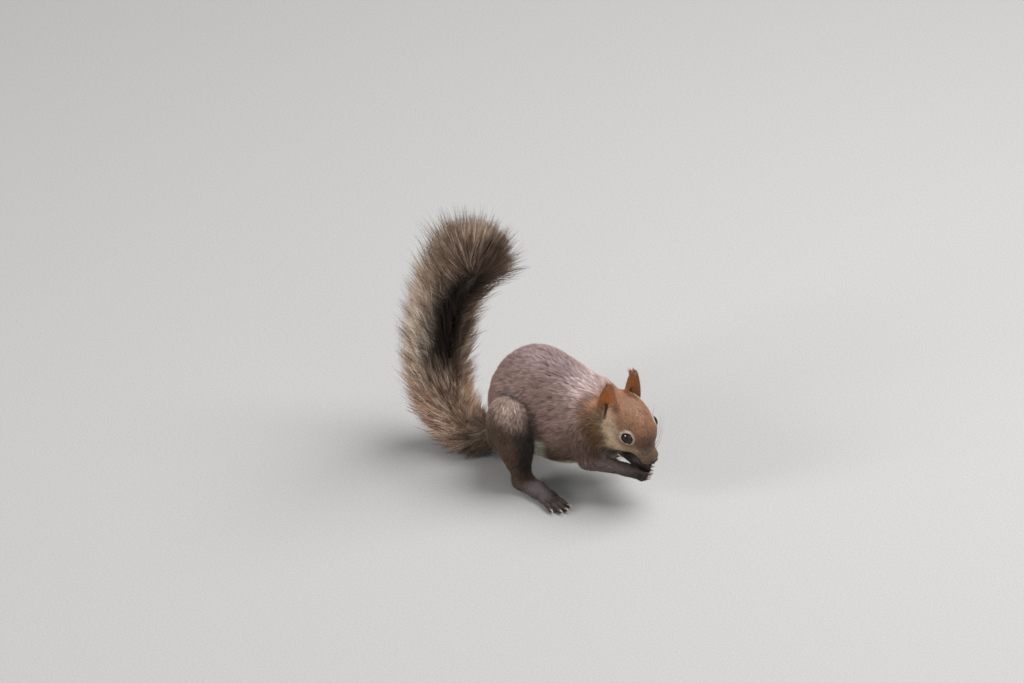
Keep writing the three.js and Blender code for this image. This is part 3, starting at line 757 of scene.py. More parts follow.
def marks_at(points, normals, shares):
    """How much of each colour of the coat, and of its painted light and shade, a place has, from 0 to 1.
    """
    length, height = points[:, 0], points[:, 2]
    ripples = ripple(points, 22, 5)
    upward, downward = normals[:, 2], -normals[:, 2]
    torso = shares["trunk"] + 0.6 * shares["neck"]
    belly = ease(downward, 0.25, 0.8) * (1 - ease(height, 24, 34))
    belly = torso * belly * (1 - ease(np.abs(points[:, 1] + 0.04 * length), 9, 17))
    chin = ease(-normals @ head_turn[:, 2], 0.45, 0.9) * (1 - ease(head_point(points)[:, 0], 12, 20))
    chest = near_line(points, CHEST, 3, 3.5) * (1 - shares["forearm"])
    groin = near_line(folded(points), GROIN, 2.4, 4.5) * shares["trunk"]
    # Darker below the knee: partly the legs' own colour, partly painted shade.
    limbs = shares["leg"] * (1 - ease(height + 5 * ripples, 66, 84)) + 0.25 * shares["upper_arm"]
    paws = shares["foot"] + shares["hand"] + 0.7 * shares["forearm"]
    heel_and_toes = 1 - ease(length, -21, -13) + ease(length, -1, 7)
    # The crease between leg and flank and the front of the shin: partly dark fur, partly painted shade.
    beside_leg = ease(shares["leg"] * shares["trunk"], 0.04, 0.22) * (length > -34)
    shin = shares["leg"] * ease(normals[:, 0], 0.3, 0.8) * ease(height, 14, 26)
    shin = shin * (1 - ease(height, 46, 58))
    # Darker low on the flank and over the rump: partly the coat's own colour, partly painted shade.
    flank_height = height + 3 * ripples - 0.6 * np.maximum(length - 6, 0)
    low = (shares["trunk"] + shares["upper_arm"]) * (1 - ease(flank_height, 26, 62))
    low = low + 0.4 * shares["trunk"] * (1 - ease(length, -68, -40))
    # Painted sheen: a cool pale tint over the trunk, strongest on its upward-facing top.
    painted_sheen = 0.2 + 0.42 * ease(upward, 0.4, 1.0) * ease(length, -62, -38)
    return head_marks(points, normals, shares) | {
        "low": np.clip(low, 0, 1),
        "painted_sheen": painted_sheen * shares["trunk"] * ease(height, 34, 52),
        # Painted highlight: a pale patch on the upward-facing top of the neck and shoulders.
        "nape_painted_light": 0.85 * ease(upward, 0.35, 0.9) * ease(length, 4, 20) * torso,
        "white": np.clip(belly + shares["head"] * chin * 0.8 + 0.7 * chest + groin, 0, 1),
        "leg": np.clip(limbs, 0, 1),
        # Paler over the top of the knee: partly the thigh's own colour, partly a painted highlight.
        "knee": shares["leg"] * ease(height + 3 * ripples, 51, 67),
        # Partly dark fur, partly painted shade in the creases by the legs.
        "dark": np.clip((beside_leg + shin) * (1 - groin), 0, 1),
        "paw": np.clip(paws, 0, 1),
        "dusky": np.clip(0.85 * shares["foot"] * heel_and_toes + shares["hand"], 0, 1),
        # Painted shade: the coat on the upper part of the tail's core goes near black, as it shows in the
        # parting.
        "tail": shares["tail"] * ease(height - length, 78, 96),
    }


def add_marks(made, marks):
    """Keeps each mark with the mesh, as one number at each vertex."""
    for name, values in marks.items():
        layer = made.data.attributes.new(name, "FLOAT", "POINT")
        layer.data.foreach_set("value", np.ascontiguousarray(values, np.float32))


# The third of these is a painted sheen, the cool light off the top of the back.
BODY_BROWN, BODY_DARK, PAINTED_SHEEN_TINT = (0.235, 0.145, 0.114), (0.165, 0.090, 0.062), (0.41, 0.355, 0.43)
# The first of these is a painted highlight on the top of the neck and shoulders.
NAPE_PAINTED_LIGHT, SLIT_RED = (0.56, 0.42, 0.38), (0.085, 0.018, 0.008)
GINGER, EAR_ORANGE, BUFF = (0.285, 0.145, 0.083), (0.64, 0.21, 0.048), (0.60, 0.455, 0.31)
# The second of these is partly the colour of the band behind the ears and partly painted shade.
DUSKY, OLIVE_AND_SHADE, RIM_FUR = (0.026, 0.016, 0.010), (0.108, 0.052, 0.010), (0.55, 0.37, 0.28)
# The first two are partly the legs' own colours, with painted shade below the knee and a painted
# highlight on its top.
LEG_BROWN_AND_SHADE, LEG_PALE_AND_HIGHLIGHT, PAW_BROWN = (0.069, 0.040, 0.023), (0.42, 0.31, 0.26), (0.105, 0.086, 0.088)
BELLY_WHITE, EYE_RING, MUZZLE = (0.66, 0.66, 0.51), (0.62, 0.52, 0.42), (0.190, 0.122, 0.080)
# The first is painted shade on the tail's core, where it shows in the parting; the second is partly the
# coat's colour and partly painted shade low on the flank and rump; the third is partly dark fur and
# partly painted shade in the creases by the legs.
TAIL_CORE_SHADE, LOW_BROWN_AND_SHADE, CREASE_FUR_AND_SHADE = (0.030, 0.018, 0.012), (0.075, 0.044, 0.030), (0.016, 0.012, 0.010)
COAT_TINTS = (  # from the first laid on to the last: the mark, its colour, its share at the fullest
    ("low", LOW_BROWN_AND_SHADE, 0.85), ("nape_painted_light", NAPE_PAINTED_LIGHT, 1.0), ("ginger", GINGER, 1.0), ("buff", BUFF, 0.9),
    ("leg", LEG_BROWN_AND_SHADE, 1.0), ("knee", LEG_PALE_AND_HIGHLIGHT, 0.85), ("paw", PAW_BROWN, 1.0), ("muzzle", MUZZLE, 1.0),
    ("ear", EAR_ORANGE, 1.0), ("rim_fur", RIM_FUR, 1.0), ("tail", TAIL_CORE_SHADE, 1.0),
    ("dusky", DUSKY, 0.9), ("olive_and_shade", OLIVE_AND_SHADE, 0.9), ("white", BELLY_WHITE, 1.0),
    ("dark", CREASE_FUR_AND_SHADE, 0.95), ("slit", SLIT_RED, 1.0), ("ring", EYE_RING, 1.0),
)


def coat_colour(shade):
    """The coat's colour, painted light and shade included, before the light and dark of single hairs,
    from the marks of the mesh.
    """
    clouds = shade.noise(70, 3).step(0.3, 0.7)
    colour = shade.blend(BODY_BROWN, BODY_DARK, clouds * 0.6)
    for mark, tint, most in COAT_TINTS:
        colour = shade.blend(colour, tint, shade.mark(mark) * most)
    return colour


shade, shader = material("skin_under_coat", {"Roughness": 0.7, "Specular IOR Level": 0.3})
streaks = shade.noise(1400, 3)
colour = shade.blend(coat_colour(shade), (0.05, 0.032, 0.026), 0.35)
colour = shade.blend(colour, (0.012, 0.008, 0.007), shade.mark("rim"))
feed(shader, Base_Color=shade.blend(colour, (0.02, 0.014, 0.011), streaks.step(0.35, 0.75) * 0.5))
height = shade.node("ShaderNodeBump", {}, {"Strength": 0.4, "Distance": 0.0004, "Height": streaks})
feed(shader, Normal=height)

home = (Vector(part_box("eye_right")[0]) + Vector(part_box("eye_right")[1])) / 2 * 1000
home = np.array(home) - on_head(mirrored(EYE_AT, -1))  # where the animal's own origin lies


def to_frame(points):
    """Millimetres from the animal's origin as metres of the frame."""
    return (points + home) / 1000


skin = mesh_object("skin", to_frame(points), triangles, bpy.data.materials["skin_under_coat"])
skin_shares = shares_at(points)
skin_marks = marks_at(points, skin_normals, skin_shares)
sided = folded(head_point(points))
from_lid = np.linalg.norm(sided - EYE_AT, axis=1) - EYE_RADIUS
add_marks(skin, skin_marks | {
    "rim": np.clip(1 - ease(from_lid, 0.15, 0.5) + near_line(sided, MOUTH, 0.5, 0.5), 0, 1),
})
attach(skin, "root")
FLESH = ["head", "neck", "trunk"] + [f"tail_{part}" for part in ("base", "middle", "upper", "tip")]
FLESH += [
    f"{part}_{side}"
    for side in SIDES
    for part in ("ear", "thigh", "shank", "foot", "upper_arm", "forearm", "hand")
]
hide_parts(*FLESH)

# ---- Coat -------------------------------------------------------------------------------------
# Short summer fur over the whole skin. Each tuft is a thin, tapered, three-sided lock that starts
# under the skin, follows the lie of the coat and ends at the coat's depth. The fur is shortest on
# the face, ears and feet.
HAIR = {  # length, breadth, height of the tips over the skin, how closely the tufts are set
    "trunk": (8.0, 0.46, 2.5, 1.0), "neck": (6.4, 0.42, 2.1, 1.1), "head": (2.9, 0.27, 0.75, 1.0),
    "leg": (6.0, 0.42, 1.8, 1.0), "foot": (2.4, 0.26, 0.42, 1.0), "upper_arm": (5.4, 0.40, 1.5, 1.0),
    "forearm": (3.4, 0.30, 0.8, 1.0), "hand": (1.7, 0.22, 0.36, 1.3), "ear": (1.9, 0.23, 0.38, 1.0),
    "tail": (6, 0.40, 2.0, 0.3),
}
GATHERED = {"head": 0.25, "foot": 0.2, "hand": 0.2, "ear": 0.25, "forearm": 0.35}  # 0.6 elsewhere


def lie_at(points, normals, shares):
    """The way the hair points, before it is laid onto the skin."""
    side = np.sign(points[:, 1])
    zero, one = np.zeros(len(points)), np.ones(len(points))
    rump = ease(-points[:, 0], 28, 56)
    over = ease(normals[:, 2], 0.6, 1.0)
    from_nose = unit(head_point(points) - np.array([32, 0, -11])) @ head_turn.T
    right, left = (np.subtract(ARMS[name][1], ARMS[name][0]) for name in SIDES)
    fore = np.where(side[:, None] < 0, unit(right), unit(left))
    ears = [head_turn @ ear_turn(s)[:, 2] for s in SIDES.values()]
    knee_way = np.stack([-0.3 + 0.4 * over, side * (0.15 + 0.7 * over), -one], axis=1)
    ways = {
        "trunk": np.stack([-one, zero, -0.25 - 1.3 * rump], axis=1),
        "neck": np.stack([-one, zero, -0.1 * one], axis=1),
        "head": from_nose,
        "leg": knee_way,
        "foot": np.stack([one, side * 0.25, -0.15 * one], axis=1),
        "upper_arm": np.stack([0.05 * one, side * 0.2, -one], axis=1),
        "forearm": fore,
        "hand": fore,
        "ear": np.where(head_point(points)[:, 1:2] < 0, *ears),
        "tail": np.stack([-one, zero, -0.5 * one], axis=1),
    }
    way = unit(sum(unit(ways[name]) * shares[name][:, None] for name in ways))
    for eye_side in SIDES.values():  # the hair parts round the eyes
        away = points - on_head(mirrored(EYE_AT, eye_side))
        reach = np.linalg.norm(away, axis=1, keepdims=True)
        away = laid(away, normals)
        inward = np.minimum((way * away).sum(axis=1, keepdims=True), 0)
        way = way + away * (0.35 - inward) * (1 - ease(reach, EYE_RADIUS + 0.8, EYE_RADIUS + 3.5))
    return unit(way)


def scatter(weights, count, draw):
    """count roots on the skin, spread by a weight for each triangle: (points, normals)."""
    a, b, c = (skin_points[skin_triangles[:, k]] for k in range(3))
    areas = np.linalg.norm(np.cross(b - a, c - a), axis=1) * weights
    reach = np.cumsum(areas)
    picked = np.searchsorted(reach, (np.arange(count) + draw.random(count)) / count * reach[-1])
    picked = np.minimum(picked, len(areas) - 1)
    u, v = draw.random((2, count))
    over = u + v > 1
    u, v = np.where(over, 1 - u, u)[:, None], np.where(over, 1 - v, v)[:, None]
    corners = skin_triangles[picked]
    mixed = [
        held[corners[:, 0]] * (1 - u - v) + held[corners[:, 1]] * u + held[corners[:, 2]] * v
        for held in (skin_points, skin_normals)
    ]
    return mixed[0], unit(mixed[1])


def gather(points, ways, per_clump, draw):
    """Neighbours gather in clumps, three times as long as wide: (the number of the lock in the
    middle of each one's clump, how far out in its clump each one is from 0 to 1)."""
    middles = draw.permutation(len(points))[: len(points) // per_clump]
    tree = KDTree(len(middles))
    for number, point in enumerate(points[middles].tolist()):
        tree.insert(point, number)
    tree.balance()
    near = np.array([[found[1] for found in tree.find_n(point, 6)] for point in points.tolist()])
    apart = points[:, None] - points[middles[near]]
    along = (apart * ways[middles[near]]).sum(axis=-1)
    reach = (apart**2).sum(axis=-1) - 0.89 * along**2
    nearest = reach.argmin(axis=1)
    chosen = np.arange(len(points))
    reach = np.sqrt(np.maximum(reach[chosen, nearest], 0))
    return middles[near[chosen, nearest]], np.clip(reach / np.percentile(reach, 90), 0, 1)


PATCH = 0.003  # of the unwrap, for each tuft


def lock_faces(rings):
    """The triangles of one lock of so many three-cornered rings and a tip, and its small unwrap."""
    faces, places = [], []
    for ring in range(rings):
        low, high = ring / rings, (ring + 1) / rings
        for k in range(3):
            first, second = ring * 3 + k, ring * 3 + (k + 1) % 3
            left, right = k / 3, (k + 1) / 3
            if ring < rings - 1:
                faces += [(first, second, second + 3), (first, second + 3, first + 3)]
                places.append([(left, low), (right, low), (right, high)])
                places.append([(left, low), (right, high), (left, high)])
            else:
                faces.append((first, second, rings * 3))
                places.append([(left, low), (right, low), ((left + right) / 2, 1)])
    faces.append((0, 2, 1))
    places.append([(0, 0), (0.5, 0.2), (1, 0)])
    return np.array(faces), np.array(places, float)


FLAT_LOCK = np.array([(-1, 0), (1, 0), (0, 0.9)])  # corners of a lock's section: across, outward
ROUND_LOCK = np.array([(-0.87, -0.5), (0.87, -0.5), (0, 1)])


def locks(name, paths, across, outward, facing, breadth, section, unwrap, marks, made_of, nodes):
    """One object of many locks. paths is (lock, point along it, xyz), from the root to the tip.
    facing is the way that the coat faces round each lock, which its shading leans to."""
    count, steps = paths.shape[:2]
    rings = steps - 1
    shares = np.arange(rings) / rings
    girth = breadth[:, None] / 2 * (1 + 0.65 * shares - 1.35 * shares**2)
    spokes = across[:, None] * section[:, :1] + outward[:, None] * section[:, 1:]
    body = paths[:, :rings, None] + spokes[:, None] * girth[:, :, None, None]
    places = np.concatenate([body.reshape(count, rings * 3, 3), paths[:, -1:]], axis=1)
    places[..., 2] = np.maximum(places[..., 2], 0.08 + 0.1 * (np.arange(rings * 3 + 1) % 3))
    faces, unwrapped = lock_faces(rings)
    per_lock = rings * 3 + 1
    numbers = faces[None] + (np.arange(count) * per_lock)[:, None, None]
    made = mesh_object(name, to_frame(places.reshape(-1, 3)), numbers.reshape(-1, 3), made_of)
    leaning = np.tile(0.75 * spokes + facing[:, None], (1, rings, 1))
    normals = unit(np.concatenate([leaning, facing[:, None]], axis=1)).reshape(-1, 3)
    made.data.normals_split_custom_set_from_vertices(normals.tolist())
    patches = np.clip(unwrap, 0, 1)[:, None, None] * (1 - PATCH) + unwrapped[None] * PATCH
    layer = made.data.uv_layers.new(name="OFBake")
    layer.uv.foreach_set("vector", np.ascontiguousarray(patches, np.float32).ravel())
    along = np.append(np.repeat(shares, 3), 1.0)
    spread = {key: np.repeat(values, per_lock) for key, values in marks.items()}
    add_marks(made, spread | {"along": np.tile(along, count)})
    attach(made, "root")
    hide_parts(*nodes[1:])


shade, shader = material("fur", {
    "Roughness": 0.5, "Specular IOR Level": 0.28, "Sheen Weight": 0.05, "Sheen Roughness": 0.45,
})
along, lot = shade.mark("along"), shade.mark("lot")
colour = coat_colour(shade)
dark_root = shade.blend(colour, (0.028, 0.020, 0.018), (1 - along.step(0.1, 0.8)) * 0.7)
light_tip = shade.blend(
    dark_root, (1.5, 1.45, 1.42), along.step(0.4, 0.85) * lot.step(0.5, 1.0), "MULTIPLY")
dark_lot = shade.blend(light_tip, (0.56, 0.52, 0.50), 1 - lot.step(0.0, 0.45), "MULTIPLY")
# Painted sheen: hair on the trunk's upward-facing top shifts towards a cool pale tint.
sheen = along.step(0.1, 0.7) * (lot.step(0.0, 1.0) * 0.4 + 0.2) * shade.mark("painted_sheen")
feed(shader, Base_Color=shade.blend(dark_lot, PAINTED_SHEEN_TINT, sheen))
fur = bpy.data.materials["fur"]
WAYS_WANDER = 0.15  # how far single tufts stray from the lie of the coat
CLUMP = 0.20  # how far neighbouring ones stray together


def round_eye(points):
    """(how far places are outside the lids' opening, how far from the eyeball)."""
    from_eye = folded(head_point(points)) - EYE_AT
    opening = opening_at(from_eye @ eye_long, from_eye @ eye_high)
    return opening, np.linalg.norm(from_eye, axis=1) - EYE_RADIUS


centres = skin_points[skin_triangles].mean(axis=1)
centre_shares = shares_at(centres)
centre_marks = marks_at(centres, unit(slope_of(skin_at, centres)[1]), centre_shares)
centre_side = np.sign(centres[:, 1])
opening, from_ball = round_eye(centres)
bare = (opening < 0.35) & (from_ball < 1.2)
bare |= np.linalg.norm(head_point(centres) - NOSE_AT, axis=1) < 2.0
bare |= (centres[:, 2] < 0.8) & (centre_shares["foot"] > 0.5)
bare |= centre_marks["slit"] > 0.8
closeness = sum(HAIR[name][3] * share for name, share in centre_shares.items()) * ~bare
in_ear = [
    near_line((head_point(centres) - mirrored(EAR_AT, side)) @ ear_turn(side),
              [EAR_SLIT[0][0], EAR_SLIT[1][0]], 1.6, 1.5)
    for side in SIDES.values()
]
closeness = closeness * (1 - 0.9 * np.max(in_ear, axis=0))


def unwrap_round(points, axis_point, axis_way, up_way, length):
    """The place on a cylinder round an axis: the angle, and how far along, each from 0 to 1."""
    axis_way, from_axis = unit(np.array(axis_way, float)), points - np.array(axis_point, float)
    up = unit(np.array(up_way) - axis_way * (np.array(up_way) @ axis_way))
    side = np.cross(axis_way, up)
    angle = np.arctan2(from_axis @ side, from_axis @ up) / (2 * math.pi) + 0.5
    return np.stack([angle, np.clip(from_axis @ axis_way / length, 0, 1)], axis=1)


ALONG_TRUNK = ((-62, 0, 48), (1, 0, 0), (0, 0, 1), 120)  # an unwrap's start, way, up and length
ALONG_HEAD = (on_head((-20, 0, -3)), head_turn[:, 0], head_turn[:, 2], 48)
UP_EARS = (on_head((-8, 0, 3)), head_turn[:, 2], head_turn[:, 0], 30)
UP_RIGHT_LEG, UP_LEFT_LEG = (((-26, y, 0), (0, 0, 1), (1, 0, 0), 85) for y in (-26, 26))
ALONG_ARMS = ((16, 0, 30), (1, 0, 0), (0, 0, 1), 52)
ALONG_FEET = ((-28, 0, 3), (1, 0, 0), (0, 0, 1), 46)
TORSO, ARM = ("trunk", "neck", "tail"), ("upper_arm", "forearm", "hand")
COATS = {  # the parts it grows on, side or None, tufts, unwrap, then material slot and solids
    "coat_trunk_right": (TORSO, -1, 46000, ALONG_TRUNK, ("body_fur", "trunk")),
    "coat_trunk_left": (TORSO, 1, 42000, ALONG_TRUNK, ("body_fur", "neck")),
    "coat_leg_right": (["leg"], -1, 26000, UP_RIGHT_LEG, ("leg_fur", "thigh_right", "shank_right")),
    "coat_leg_left": (["leg"], 1, 24000, UP_LEFT_LEG, ("leg_fur", "thigh_left", "shank_left")),
    "coat_head_right": (["head"], -1, 33000, ALONG_HEAD, ("face_fur", "head")),
    "coat_head_left": (["head"], 1, 28000, ALONG_HEAD, ("face_fur", "head")),
    "coat_ears": (["ear"], None, 14000, UP_EARS, ("ear_fur", "ear_right", "ear_left")),
    "coat_arms": (ARM, None, 24000, ALONG_ARMS, ("leg_fur", "forearm_right", "forearm_left")),
    "coat_feet": (["foot"], None, 15000, ALONG_FEET, ("foot_fur", "foot_right", "foot_left")),
}
for seed, (name, (parts, side, count, axis, nodes)) in enumerate(COATS.items()):
    draw = np.random.default_rng(100 + seed)
    weights = closeness * sum(centre_shares[part] for part in parts)
    if side:
        weights = weights * (centre_side == side)
    roots, normals = scatter(weights, count, draw)
    shares = shares_at(roots)
    length, breadth, lift = (
        sum(HAIR[part][k] * share for part, share in shares.items()) for k in range(3)
    )
    # Shorter round the eyes, longer on the ears' tips, and never quite even.
    opening, from_ball = round_eye(roots)
    short = 0.7 * (1 - ease(opening, 0.4, 3.5)) * (1 - ease(from_ball, 1.5, 3.0))
    ear_tip = shares["ear"] * ease(head_point(roots)[:, 2], 19, 26)
    length = length * draw.uniform(0.6, 1.1, count) * (1 - short) * (1 + 0.5 * ear_tip)
    lift = lift * draw.uniform(0.3, 1.05, count) * (1 - short)
    sunk = np.minimum(0.4, 0.06 + 0.08 * length)
    # Each lies along the skin, strays a little and leans to the middle of its clump.
    way = laid(lie_at(roots, normals, shares), normals)
    across = np.cross(normals, way)
    stray = CLUMP * ripple(roots, 9, 11 + seed) + WAYS_WANDER * draw.normal(size=count)
    way = laid(way + across * stray[:, None], normals)
    tips = roots + way * length[:, None]
    chief, edge = gather(roots, way, 9, draw)
    pull = sum(GATHERED.get(part, 0.6) * share for part, share in shares.items())
    tips = tips + (tips[chief] - tips) * (pull * draw.uniform(0.6, 1.1, count))[:, None]
    lift = lift * (1 + 0.35 * pull * (draw.random(count)[chief] - 0.4 - edge))
    for _ in range(2):
        tips = tips + normals * (lift - skin_at(*tips.T))[:, None]
    across = np.cross(normals, laid(tips - roots, normals))
    paths = np.stack([roots - normals * sunk[:, None], tips], axis=1)
    # A lot for its lightness, mostly shared by a clump.
    shared = draw.random(count)[chief] - 0.5 * edge + 0.2
    lot = 0.5 + (0.5 + pull) * (shared - 0.45) + (0.7 - 0.6 * pull) * (draw.random(count) - 0.5)
    tilt = normals + 0.35 * pull[:, None] * draw.normal(size=(count, 3))[chief]
    marks = marks_at(roots, normals, shares) | {"lot": np.clip(lot, 0, 1)}
    locks(name, paths, across, normals, unit(tilt), breadth, FLAT_LOCK,
          unwrap_round(roots, *axis), marks, fur, nodes)

# ---- Tail brush -------------------------------------------------------------------------------
# Long guard hairs stand out from the tail's core, more to its two flat sides than above and
# below, and lean towards the tip, where they fan out beyond the core. Near the core they are
# almost black, partly their own colour and partly painted shade deep in the brush, then tan,
# with dark tips. Painted shade darkens the parting and the tail's root by the rump.
BRUSH_PIECES = {  # shares of the brush where hairs start, their number, the solids
    "tail_hair_base": (0.02, 0.30, 8900, ("tail_base",)),
    "tail_hair_middle": (0.30, 0.58, 9900, ("tail_middle",)),
    "tail_hair_upper": (0.58, 0.865, 11800, ("tail_upper", "tail_tip")),
}
PARTING_AT = math.radians(-76)  # the side where the hair parts, from the brush's broad axis
TAN, PALE_TAN, RUST = (0.47, 0.345, 0.26), (0.77, 0.66, 0.555), (0.38, 0.16, 0.08)
DARK_SHAFT, GUARD_TIP, NEAR_BLACK = (0.14, 0.088, 0.058), (0.06, 0.044, 0.036), (0.010, 0.006, 0.004)

shade, shader = material("tail_hair", {"Roughness": 0.55, "Specular IOR Level": 0.2})
along, lot, painted_tail_shade, rust = (shade.mark(name) for name in ("along", "lot", "painted_tail_shade", "rust"))
# The tail's lot mark carries painted light along one edge of the brush and painted shade along the other.
shaft = shade.blend(TAN, PALE_TAN, lot.step(0.5, 0.9))
shaft = shade.blend(shaft, RUST, rust)
shaft = shade.blend(shaft, DARK_SHAFT, 1 - lot.step(0.1, 0.45))
# Near-black roots deep in the brush: partly the hairs' own colour, partly painted shade.
shaft = shade.blend(shaft, NEAR_BLACK, (1 - along.step(0.14, 0.5)) * shade.mark("deep"))
shaft = shade.blend(shaft, GUARD_TIP, along.step(0.7, 1.0) * (1 - lot.step(0.0, 0.1)))
# Painted shade: hair in the parting and at the tail's root goes near black.
feed(shader, Base_Color=shade.blend(shaft, NEAR_BLACK, painted_tail_shade))
tail_hair = bpy.data.materials["tail_hair"]

for seed, (name, (low, high, count, nodes)) in enumerate(BRUSH_PIECES.items()):
    draw = np.random.default_rng(200 + seed)
    # Twice the hairs are drawn, and those in the parting are the first to be left out.
    start = low + (high - low) * draw.random(2 * count)
    if high > 0.8:  # many hairs of the tip spread from the end of the core
        start = np.where(draw.random(2 * count) < 0.5, high - 0.02 * draw.random(2 * count), start)
    angle = draw.uniform(0, 2 * math.pi, 2 * count)  # from the brush's broad axis
    parting = ease(np.cos(angle - PARTING_AT), 0.15, 0.72) * ease(start, 0.29, 0.42)
    fan = start > high - 0.02 if high > 0.8 else np.full(2 * count, False)
    thin = np.where(fan, 0.8, 0.93)
    kept = np.argsort(draw.random(2 * count) < thin * parting, kind="stable")[:count]
    start, angle, parting, fan = start[kept], angle[kept], parting[kept], fan[kept]
    # Where its tip comes to lie: further along the brush, and so far out from its middle.
    grown = ease(start, 0.12, 0.4)
    _, way, broad, deep, half = on_line(start)
    lean = 0.30 + 0.35 * draw.random(count) + 0.3 * grown * np.abs(np.sin(angle))
    end = start + half * lean / brush_length
    end = np.where(fan, 0.85 + 0.15 * draw.random(count) ** 1.3, end)
    kind = draw.random(count)  # under hair, the main lot, and sparse long guard hairs
    fill = np.where(kind < 0.25, draw.uniform(0.4, 0.8, count), draw.uniform(0.72, 1.0, count))
    guard = kind > 0.9
    fill = np.where(guard, 1.0 + (0.12 + 0.3 * ease(start, 0.6, 0.85)) * draw.random(count), fill)
    fill = fill * (1 - 0.45 * parting)
    spoke = broad * np.cos(angle)[:, None] + deep * np.sin(angle)[:, None]
    centre, _, end_broad, end_deep, end_half = on_line(end)
    reach = end_half * fill / np.hypot(np.cos(angle), np.sin(angle) / BRUSH_FLAT)
    aim = end_broad * np.cos(angle)[:, None] + end_deep * np.sin(angle)[:, None]
    # It leaves the core outwards and bends over, together with its clump.
    root_reach = 0.6 * np.interp(start, (0, CORE_END), (CORE_ROOT, CORE_TIP))
    roots = core_at(start) + spoke * root_reach[:, None]
    tips = centre + aim * reach[:, None]
    long = np.linalg.norm(tips - roots, axis=1)[:, None]
    bow = (0.5 - 0.42 * ease(start, 0.62, 0.84))[:, None]
    elbow = roots + (bow * spoke - 0.05 * way) * long + (0.5 - bow) * (tips - roots)
    chief, edge = gather(tips, unit(tips - roots), 9, draw)
    tips = tips + (tips[chief] - tips) * np.where(guard, 0.15, 0.55)[:, None]
    clumps = np.stack([ripple(tips, 13, 60 + k) + 0.6 * ripple(tips, 6, 70 + k) for k in range(3)], 1)
    tips = tips + 1.3 * clumps + 0.5 * draw.normal(size=(count, 3))
    elbow = elbow + 1.5 * np.roll(clumps, 1, axis=1) * (long / 30)
    t = np.linspace(0, 1, 4)[None, :, None]
    paths = (1 - t) ** 2 * roots[:, None] + 2 * t * (1 - t) * elbow[:, None] + t**2 * tips[:, None]
    hair_way = unit(tips - roots)
    facing = laid(0.8 * spoke - 0.4 * way + 0.1 * draw.normal(size=(count, 3)), hair_way)
    beside = np.cross(facing, hair_way)
    breadth = draw.uniform(0.26, 0.44, count) * np.where(guard, 0.8, 1)
    # Painted light along the rear edge and below the parting, painted shade on the fore edge, and darker
    # towards the tip.
    lot = np.clip(0.35 * draw.random(count) + 0.75 * draw.random(count)[chief] - 0.25 * edge, 0, 1)
    painted_light_and_shade = 0.3 * ease(-np.cos(angle), 0.1, 0.9) * (ease(start, 0.2, 0.42) - ease(start, 0.6, 0.72))
    painted_light_and_shade = painted_light_and_shade - 0.22 * ease(np.cos(angle), 0.2, 0.9) - 0.2 * ease(start, 0.6, 0.8)
    below_parting = (1 - ease(np.abs(start - 0.26), 0.04, 0.1)) * ease(np.cos(angle - PARTING_AT), 0, 0.6)
    painted_light_and_shade = painted_light_and_shade + 0.18 * below_parting
    marks = {
        # The lot carries the painted light and shade.
        "lot": np.where(guard, 0.0, np.clip(lot + painted_light_and_shade, 0.05, 1)),
        # Painted shade in the parting and where the tail's root meets the rump.
        "painted_tail_shade": np.clip(np.where(fan, 0.45, 0.95) * parting + 0.75 * (1 - ease(start, 0.07, 0.20)), 0, 1),
        # Partly the hairs' own dark roots, partly painted shade deep in the brush.
        "deep": 0.12 + 0.86 * ease(start, 0.26, 0.44),
        "rust": (1 - ease(start, 0.26, 0.44)) * ease(draw.random(count), 0.3, 0.9) * 0.85,
    }
    unwrap = np.stack([angle / (2 * math.pi), (start - low) / (high - low)], axis=1)
    locks(name, paths, beside, facing, 0.5 * spoke, breadth, ROUND_LOCK, unwrap, marks, tail_hair,
          ("tail_fur", *nodes))

# ---- Eyes -------------------------------------------------------------------------------------
# Each eye is a dark wet ball whose clear front stands a little proud of it. A very dark brown
# iris shows only at a glance round the black pupil.
EYE_BULGE = 0.22  # millimetres that the clear front stands out past the ball
EYE_TURNS, EYE_ROWS = 48, 32  # faces round it and from front to back

